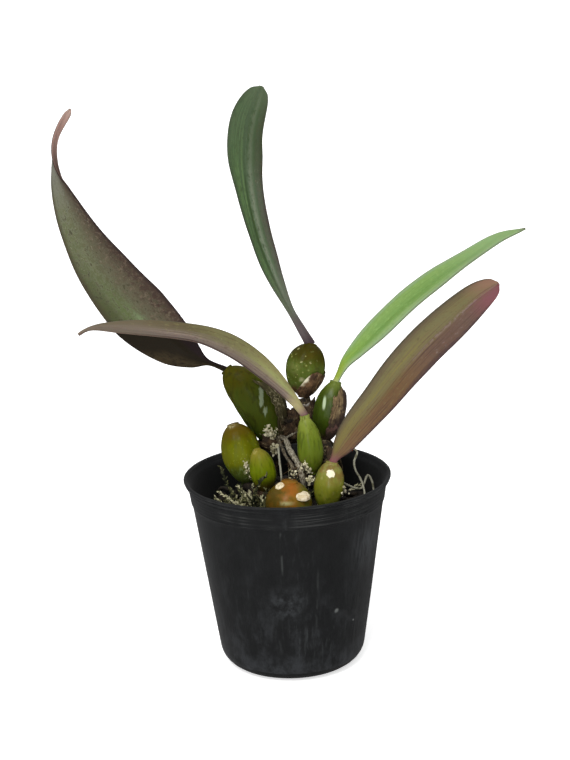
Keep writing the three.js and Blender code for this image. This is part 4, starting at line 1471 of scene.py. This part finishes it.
BLADE = SimpleNamespace(
    petiole_thick=2.6,
    petiole_edge_thick=1.3,
    midrib_thick=1.5,
    margin_thick=0.75,
    fold_power=1.2,
    petiole_share=0.04,
    spread_share=0.14,
    groove=0.25,
    groove_width=0.09,
    tip_start=0.975,
    tip_cut=0.9,
    ripple=0.012,
    sway=0.45,
    edge_powers=(3, 24),
    around=96,
    rings=170,
)


def across_at(it, share):
    """The way across the blade, square to its length, towards its right margin."""
    across = profile(it.across, share)
    heading = it.route.heading(share)
    return (across - heading * across.dot(heading)).normalized(), heading


def leaf_mesh(it, seed):
    """A folded blade with rounded margins, a groove along the midrib and a keel under it."""
    bm = blank("along", "side", "under")

    def place(share, turn, wide):
        across, heading = across_at(it, share)
        up = across.cross(heading)
        side = math.cos(turn) * wide
        face = 0 if turn in (0, math.pi) else 1 if turn < math.pi else -1
        flat = rise(share, BLADE.petiole_share, BLADE.petiole_share + BLADE.spread_share)
        tip = (1 - rise(share, BLADE.tip_start, 1) ** 2 * BLADE.tip_cut) ** 0.5
        wave = 1 + BLADE.ripple * noise.noise((share * 9, seed, round(side))) * flat
        half = profile(it.half_width, share) * wave * tip
        thick = lerp(
            lerp(BLADE.petiole_thick, BLADE.midrib_thick, flat),
            lerp(BLADE.petiole_edge_thick, BLADE.margin_thick, flat),
            abs(side),
        )
        rounded = (1 - abs(side) ** lerp(*BLADE.edge_powers, flat)) ** 0.5
        lift = it.fold * half * flat * (abs(side) ** BLADE.fold_power - 0.5)
        sway = BLADE.sway * noise.noise((share * 6, side * 1.3, seed)) * flat
        groove = hump(side, 0, BLADE.groove_width) * flat * (1 - share**3) * BLADE.groove
        level = lift + sway + (face * thick / 2 * rounded - groove) * wide
        return it.route.at(share) + across * side * half + up * level

    spots = skin_round(bm, BLADE.around, BLADE.rings, place)
    mark(bm, "along", {vert: share for vert, (share, _) in spots.items()})
    mark(bm, "side", {vert: math.cos(turn) for vert, (_, turn) in spots.items()})
    mark(bm, "under", {vert: 1 if turn > math.pi else 0 for vert, (_, turn) in spots.items()})
    return bm


def leaf_skin(name, coats, underside, gloss, shine):
    """Thick leathery skin with fine veins along it.

    coats(view) and underside(view) give the layers of the upper and the lower face.
    """
    skin = Skin(name)
    view = SimpleNamespace(skin=skin, side=skin.trait("side"), along=skin.trait("along"))
    view.strands = skin.noise(1, skin.vector(view.side * 11, view.along * 2.6, 0), detail=5, roughness=0.65)
    view.blotch = skin.noise(1, skin.vector(view.side * 3.2, view.along * 15, 3), detail=4, roughness=0.62)
    view.cloud = skin.noise(11, detail=4, roughness=0.6)
    view.grain = skin.noise(2, detail=6, roughness=0.75)
    view.mottle = skin.noise(1, skin.vector(view.side * 7, view.along * 46, 5), detail=6, roughness=0.72)
    view.wander = view.side + (view.cloud - 0.5) * 0.8 + (view.grain - 0.5) * 0.9
    upper = skin.layers(*coats(view))
    lower = skin.layers(*underside(view))
    under = skin.trait("under").rise(0.3, 0.7)
    return skin.finish(
        Base_Color=skin.mix(upper, lower, under),
        Roughness=gloss + view.cloud * 0.12 + view.grain * 0.1,
        Specular_IOR_Level=shine,
        Subsurface_Weight=0.05,
        Subsurface_Scale=0.0015,
        Normal=skin.relief(view.strands * 0.6 + view.grain * 0.4, 0.12),
    )


def broad_leaf_coats(view):
    """Grey-green, greyer up the blade where a sheen is painted, duskier to the right, fresher down the left,
    and all but black at the foot, where the arching leaf's shadow is painted.
    """
    across, height = view.skin.coordinate(0), view.skin.coordinate(2)
    # painted shadow of the arching leaf across the foot of the blade, its edge slanting across it
    low = (height + across * 0.25 + (view.mottle - 0.5) * 2).rise(133.6, 132)
    fresh = view.side.band(-0.25, 0.4) * view.along.band(0.34, 0.2)
    pale = (view.side + (view.cloud - 0.5) * 0.3).band(-0.12, 0.22) * view.along.band(0.27, 0.12)
    dusk = view.side + (view.mottle - 0.5) * 2.2
    return [
        paint("#62644e"),
        # painted sheen: the upper blade greyer, over its grey-green
        ("#74726a", view.along.rise(0.6, 0.84) * 0.85),
        ("#4b5234", view.mottle.rise(0.44, 0.58) * view.along.rise(0.9, 0.6) * 0.75),
        ("#4e5c35", fresh * (view.mottle + view.strands).rise(0.8, 1.1) * 0.9),
        ("#768a64", pale * view.strands.rise(0.34, 0.56) * 0.8),
        ("#3f4429", view.side.rise(-0.35, -0.7) * view.along.band(0.34, 0.3) * 0.85),
        ("#4f473a", dusk.rise(-0.45, 0.4) * 0.8),
        ("#3d302a", dusk.rise(0.25, 0.9) * 0.95),
        ("#363024", view.mottle.rise(0.47, 0.36) * 0.75),
        ("#86836f", view.mottle.rise(0.56, 0.66) * view.along.rise(0.3, 0.6) * 0.45),
        ("#6f6152", dusk.rise(0, 0.4) * view.grain.rise(0.52, 0.62) * 0.5),
        ("#3a3427", view.side.rise(-0.72, -0.98) * 0.85),
        ("#2a2020", view.side.rise(0.84, 0.99) * 0.9),
        # painted shadow of the arching leaf: near black, redder to the right, browner low on the left
        ("#1b160e", low),
        ("#1d1417", low * view.side.rise(0.1, 0.5) * 0.8),
        ("#322a1c", low * view.side.rise(-0.1, -0.7) * height.rise(140, 136) * view.mottle.rise(0.36, 0.56)),
        ("#7c6c62", view.along.rise(0.9, 0.99) * 0.8),
    ]


def broad_leaf_underside(view):
    return [
        paint("#5f4c44"),
        ("#8f736a", view.along.rise(0.8, 0.92)),
        ("#43362d", view.strands.rise(0.5, 0.7) * 0.5),
        ("#a38c80", view.along.rise(0.94, 1) * 0.6),
    ]


def top_leaf_coats(view):
    """Deep green, with a grey-green band right of the channel and purple-brown margins."""
    right = view.side + (view.mottle - 0.5) * 0.5
    return [
        paint("#43553a"),
        ("#5c7748", view.side.band(-0.55, 0.42) * view.strands.rise(0.36, 0.6) * 0.95),
        ("#66814f", view.side.band(-0.26, 0.2) * view.strands.rise(0.42, 0.62) * 0.7),
        ("#33471f", view.side.band(-0.04, 0.16) * view.along.rise(0.72, 0.5) * 0.85),
        ("#6a725e", right.band(0.26, 0.22) * 0.85),
        ("#464839", right.rise(0.4, 0.66) * 0.9),
        ("#352a27", right.rise(0.72, 0.94) * 0.9),
        ("#33352a", view.side.rise(-0.86, -0.99) * 0.85),
        ("#35402a", view.mottle.rise(0.5, 0.36) * 0.6),
        ("#3b4a30", (view.along + (view.cloud - 0.5) * 0.3).rise(0.5, 0.8) * 0.55),
        ("#6f7a62", view.mottle.rise(0.58, 0.7) * 0.3),
        ("#505c44", view.along.rise(0.9, 1) * 0.6),
        ("#565b4c", view.along.rise(0.34, 0.16) * 0.8),
        ("#4f4646", view.along.rise(0.17, 0.08)),
        ("#3a2b30", view.along.rise(0.06, 0)),
    ]


def top_leaf_underside(view):
    return [
        paint("#5b5a4a"),
        ("#493b35", view.cloud.rise(0.45, 0.65) * 0.6),
        ("#5a4f4c", view.along.rise(0.22, 0.1)),
    ]


def arching_leaf_coats(view):
    """Olive streaked with purple-brown, which takes over along the near margin and the tip."""
    near = (view.side - view.along * 0.6 + (view.strands - 0.5) * 1.2).rise(0.25, -0.45)
    return [
        paint("#6f6b47"),
        ("#575233", view.strands.rise(0.5, 0.36) * 0.8),
        ("#857f52", view.along.rise(0.42, 0.16) * 0.8),
        ("#8c925c", view.side.band(0.3, 0.4) * view.along.rise(0.4, 0.16) * 0.8),
        ("#5c5138", view.side.rise(-0.1, 0.5) * view.along.rise(0.45, 0.6) * 0.8),
        ("#84746c", near * 0.92),
        ("#533c3e", near * view.strands.rise(0.5, 0.62) * 0.85),
        ("#a0907f", near * view.strands.rise(0.42, 0.34) * 0.5),
        ("#57463a", view.mottle.rise(0.55, 0.64) * 0.5),
        ("#8f8a5a", view.mottle.rise(0.45, 0.36) * 0.4),
        ("#392a28", view.side.rise(-0.8, -0.97) * 0.9),
        ("#55503a", view.side.rise(0.86, 0.99) * 0.85),
        ("#665c4c", view.along.rise(0.55, 0.9) * 0.7),
        ("#9f9668", view.along.rise(0.13, 0.06) * 0.8),
        ("#6d5052", view.along.rise(0.06, 0)),
    ]


def purple_underside(view):
    return [
        paint("#57473f"),
        ("#665940", view.strands.rise(0.45, 0.7) * 0.5),
        ("#443430", view.cloud.rise(0.5, 0.7) * 0.5),
    ]


def young_leaf_coats(view):
    """Fresh green, a little greyer at its edges and tip."""
    return [
        paint("#6a8c46"),
        ("#789650", view.side.rise(0.1, -0.6) * 0.8),
        ("#8ba36c", view.side.rise(0.25, 0.7) * 0.85),
        ("#5f8040", view.strands.rise(0.5, 0.36) * 0.6),
        ("#8aa860", view.mottle.rise(0.52, 0.64) * 0.5),
        ("#62823f", view.mottle.rise(0.46, 0.36) * 0.5),
        ("#7b9a32", view.along.rise(0.3, 0.06) * view.side.band(-0.1, 0.6) * 0.7),
        ("#859836", view.along.rise(0.14, 0.02)),
        ("#a9ae76", view.along.rise(0.035, 0)),
        ("#849f6e", view.along.rise(0.5, 0.9) * 0.7),
        ("#84997a", abs(view.side).rise(0.66, 0.86) * 0.6),
        ("#4a5038", abs(view.side).rise(0.88, 0.99) * 0.75),
        ("#6b6c5b", view.along.rise(0.95, 1) * 0.8),
    ]


def young_leaf_underside(view):
    return [
        paint("#70904f"),
        ("#84a064", view.strands.rise(0.45, 0.7) * 0.5),
    ]


def crimson_leaf_coats(view):
    """Olive above the midrib, brown below it, and crimson-purple towards the tip."""
    below = view.side + (view.strands - 0.5) * 1.3 + (view.mottle - 0.5) * 0.5
    brown = below.rise(-0.2, 0.3)
    outer = view.along.rise(0.42, 0.7)
    margin = (view.side + (view.mottle - 0.5) * 0.5).rise(0.76, 0.96) * view.along.rise(0.97, 0.85)
    return [
        paint("#635d3c"),
        ("#6d6534", view.side.band(-0.3, 0.4) * view.strands.rise(0.46, 0.58) * view.along.rise(0.75, 0.5)),
        ("#655437", view.strands.rise(0.5, 0.36) * 0.85),
        ("#6c6030", view.along.rise(0.3, 0.08) * 0.6),
        ("#554836", (view.side + (view.strands - 0.5) * 0.6).rise(-0.5, -0.85) * 0.8),
        ("#60482f", brown),
        ("#695036", brown * view.along.rise(0.4, 0.12) * 0.7),
        ("#665c3c", brown * view.mottle.rise(0.53, 0.64) * view.along.rise(0.8, 0.55) * 0.6),
        ("#56423a", brown * outer * 0.8),
        ("#75655f", view.side.band(0.04, 0.12) * outer * view.mottle.rise(0.42, 0.56) * 0.7),
        ("#7a6a64", brown * outer * view.mottle.rise(0.56, 0.66) * 0.55),
        ("#43312b", brown * view.strands.rise(0.5, 0.62) * 0.75),
        ("#4d3f2d", view.mottle.rise(0.45, 0.35) * 0.5),
        ("#6d3f44", view.along.rise(0.8, 0.95) * below.rise(-0.2, 0.4) * 0.95),
        ("#7d5c4c", view.along.rise(0.84, 0.98) * below.rise(0.2, -0.4) * 0.85),
        ("#3b2a2b", margin * 0.85),
        ("#3d3a2c", view.side.rise(-0.82, -0.97) * 0.85),
        ("#7a4a52", view.along.rise(0.07, 0)),
    ]


LEAF_SKINS = {
    # the upper face's coats, the underside's, roughness, shine and the record's slot
    "leaf_left_broad": (broad_leaf_coats, broad_leaf_underside, 0.46, 0.05, "leaf_grey_green"),
    "leaf_top": (top_leaf_coats, top_leaf_underside, 0.38, 0.2, "leaf_mid_green"),
    "leaf_arching": (arching_leaf_coats, purple_underside, 0.4, 0.16, "leaf_olive_purple"),
    "leaf_right_young": (young_leaf_coats, young_leaf_underside, 0.44, 0.16, "leaf_bright_green"),
    "leaf_right_front": (crimson_leaf_coats, purple_underside, 0.4, 0.16, "leaf_olive_crimson"),
}


def make_leaves():
    for seed, (name, (*coats, gloss, shine, slot)) in enumerate(LEAF_SKINS.items()):
        skin = leaf_skin(f"{name}_skin", *coats, gloss, shine)
        piece(f"{name}_blade", leaf_mesh(LEAVES[name], seed), skin, [name])


# ---------------------------------------------------------------------------------------------
# Stage, light and camera


CAMERA = SimpleNamespace(
    elevation=15.31,
    roll=-1.95,
    distance=750,
    target=(0.44, 0, 127.2),
    sensor=36,
    focal_pixels=1753.2,
    image_height=760,
)
LAMPS_AIM = (0, 0, 110)
FLOOR_HALF = 12  # in metres
# Brightness of the sky, by height above the horizon.
SKY = {"From Min": 0.0, "From Max": 0.75, "To Min": 0.02, "To Max": 0.7}


def make_camera():
    tilt, roll = math.radians(CAMERA.elevation), math.radians(CAMERA.roll)
    back = Vector((0, -math.cos(tilt), math.sin(tilt)))
    level, upright = Vector((1, 0, 0)), Vector((0, math.sin(tilt), math.cos(tilt)))
    right = level * math.cos(roll) + upright * math.sin(roll)
    turned = Matrix((right, back.cross(right), back)).transposed().to_4x4()
    data = bpy.data.cameras.new("camera")
    data.sensor_width = CAMERA.sensor
    data.lens = CAMERA.focal_pixels * CAMERA.sensor / CAMERA.image_height
    camera = bpy.data.objects.new("camera", data)
    camera.matrix_world = Matrix.Translation((Vector(CAMERA.target) + back * CAMERA.distance) * MM) @ turned
    bpy.context.collection.objects.link(camera)
    bpy.context.scene.camera = camera


def lamp(name, kind, place, energy, **settings):
    """Puts a lamp at a place, facing the middle of the plant."""
    data = bpy.data.lights.new(name, kind)
    data.energy = energy
    for key, value in settings.items():
        setattr(data, key, value)
    made = bpy.data.objects.new(name, data)
    made.location = Vector(place) * MM
    made.rotation_euler = (Vector(place) - Vector(LAMPS_AIM)).to_track_quat("Z", "Y").to_euler()
    bpy.context.collection.objects.link(made)


def make_stage():
    bm = blank()
    bmesh.ops.create_grid(bm, x_segments=1, y_segments=1, size=FLOOR_HALF)
    matt = Skin("pale_floor").finish(
        Base_Color=(0.93, 0.93, 0.93, 1),
        Roughness=0.9,
        Specular_IOR_Level=0.1,
        Emission_Color=(1, 1, 1, 1),
        Emission_Strength=0.6,
    )
    floor = put_in_scene("floor", bm, matt)
    floor.visible_glossy = False


def make_sky():
    """A dome that is bright overhead and dark at the horizon, so that the plant's rims stay dark."""
    world = bpy.data.worlds.new("studio")
    world.use_nodes = True
    nodes, links = world.node_tree.nodes, world.node_tree.links
    direction = nodes.new("ShaderNodeTexCoord").outputs["Generated"]
    parts = nodes.new("ShaderNodeSeparateXYZ")
    links.new(direction, parts.inputs[0])
    height = nodes.new("ShaderNodeMapRange")
    height.interpolation_type = "SMOOTHSTEP"
    for name, value in SKY.items():
        height.inputs[name].default_value = value
    links.new(parts.outputs["Z"], height.inputs["Value"])
    links.new(height.outputs[0], nodes["Background"].inputs["Strength"])
    nodes["Background"].inputs["Color"].default_value = (1, 1, 1, 1)
    bpy.context.scene.world = world


def make_light():
    make_sky()
    bpy.context.scene.view_settings.view_transform = "Standard"
    lamp("sky_panel", "SUN", (-200, -620, 900), 1.75, angle=math.radians(24))
    lamp("window", "AREA", (-150, -700, 230), 1.3, shape="RECTANGLE", size=110 * MM, size_y=300 * MM)


# ---------------------------------------------------------------------------------------------


make_camera()
make_pot()
make_medium()
make_rhizome()
make_bulbs()
make_scars()
make_bracts()
make_leaves()
make_stage()
make_light()
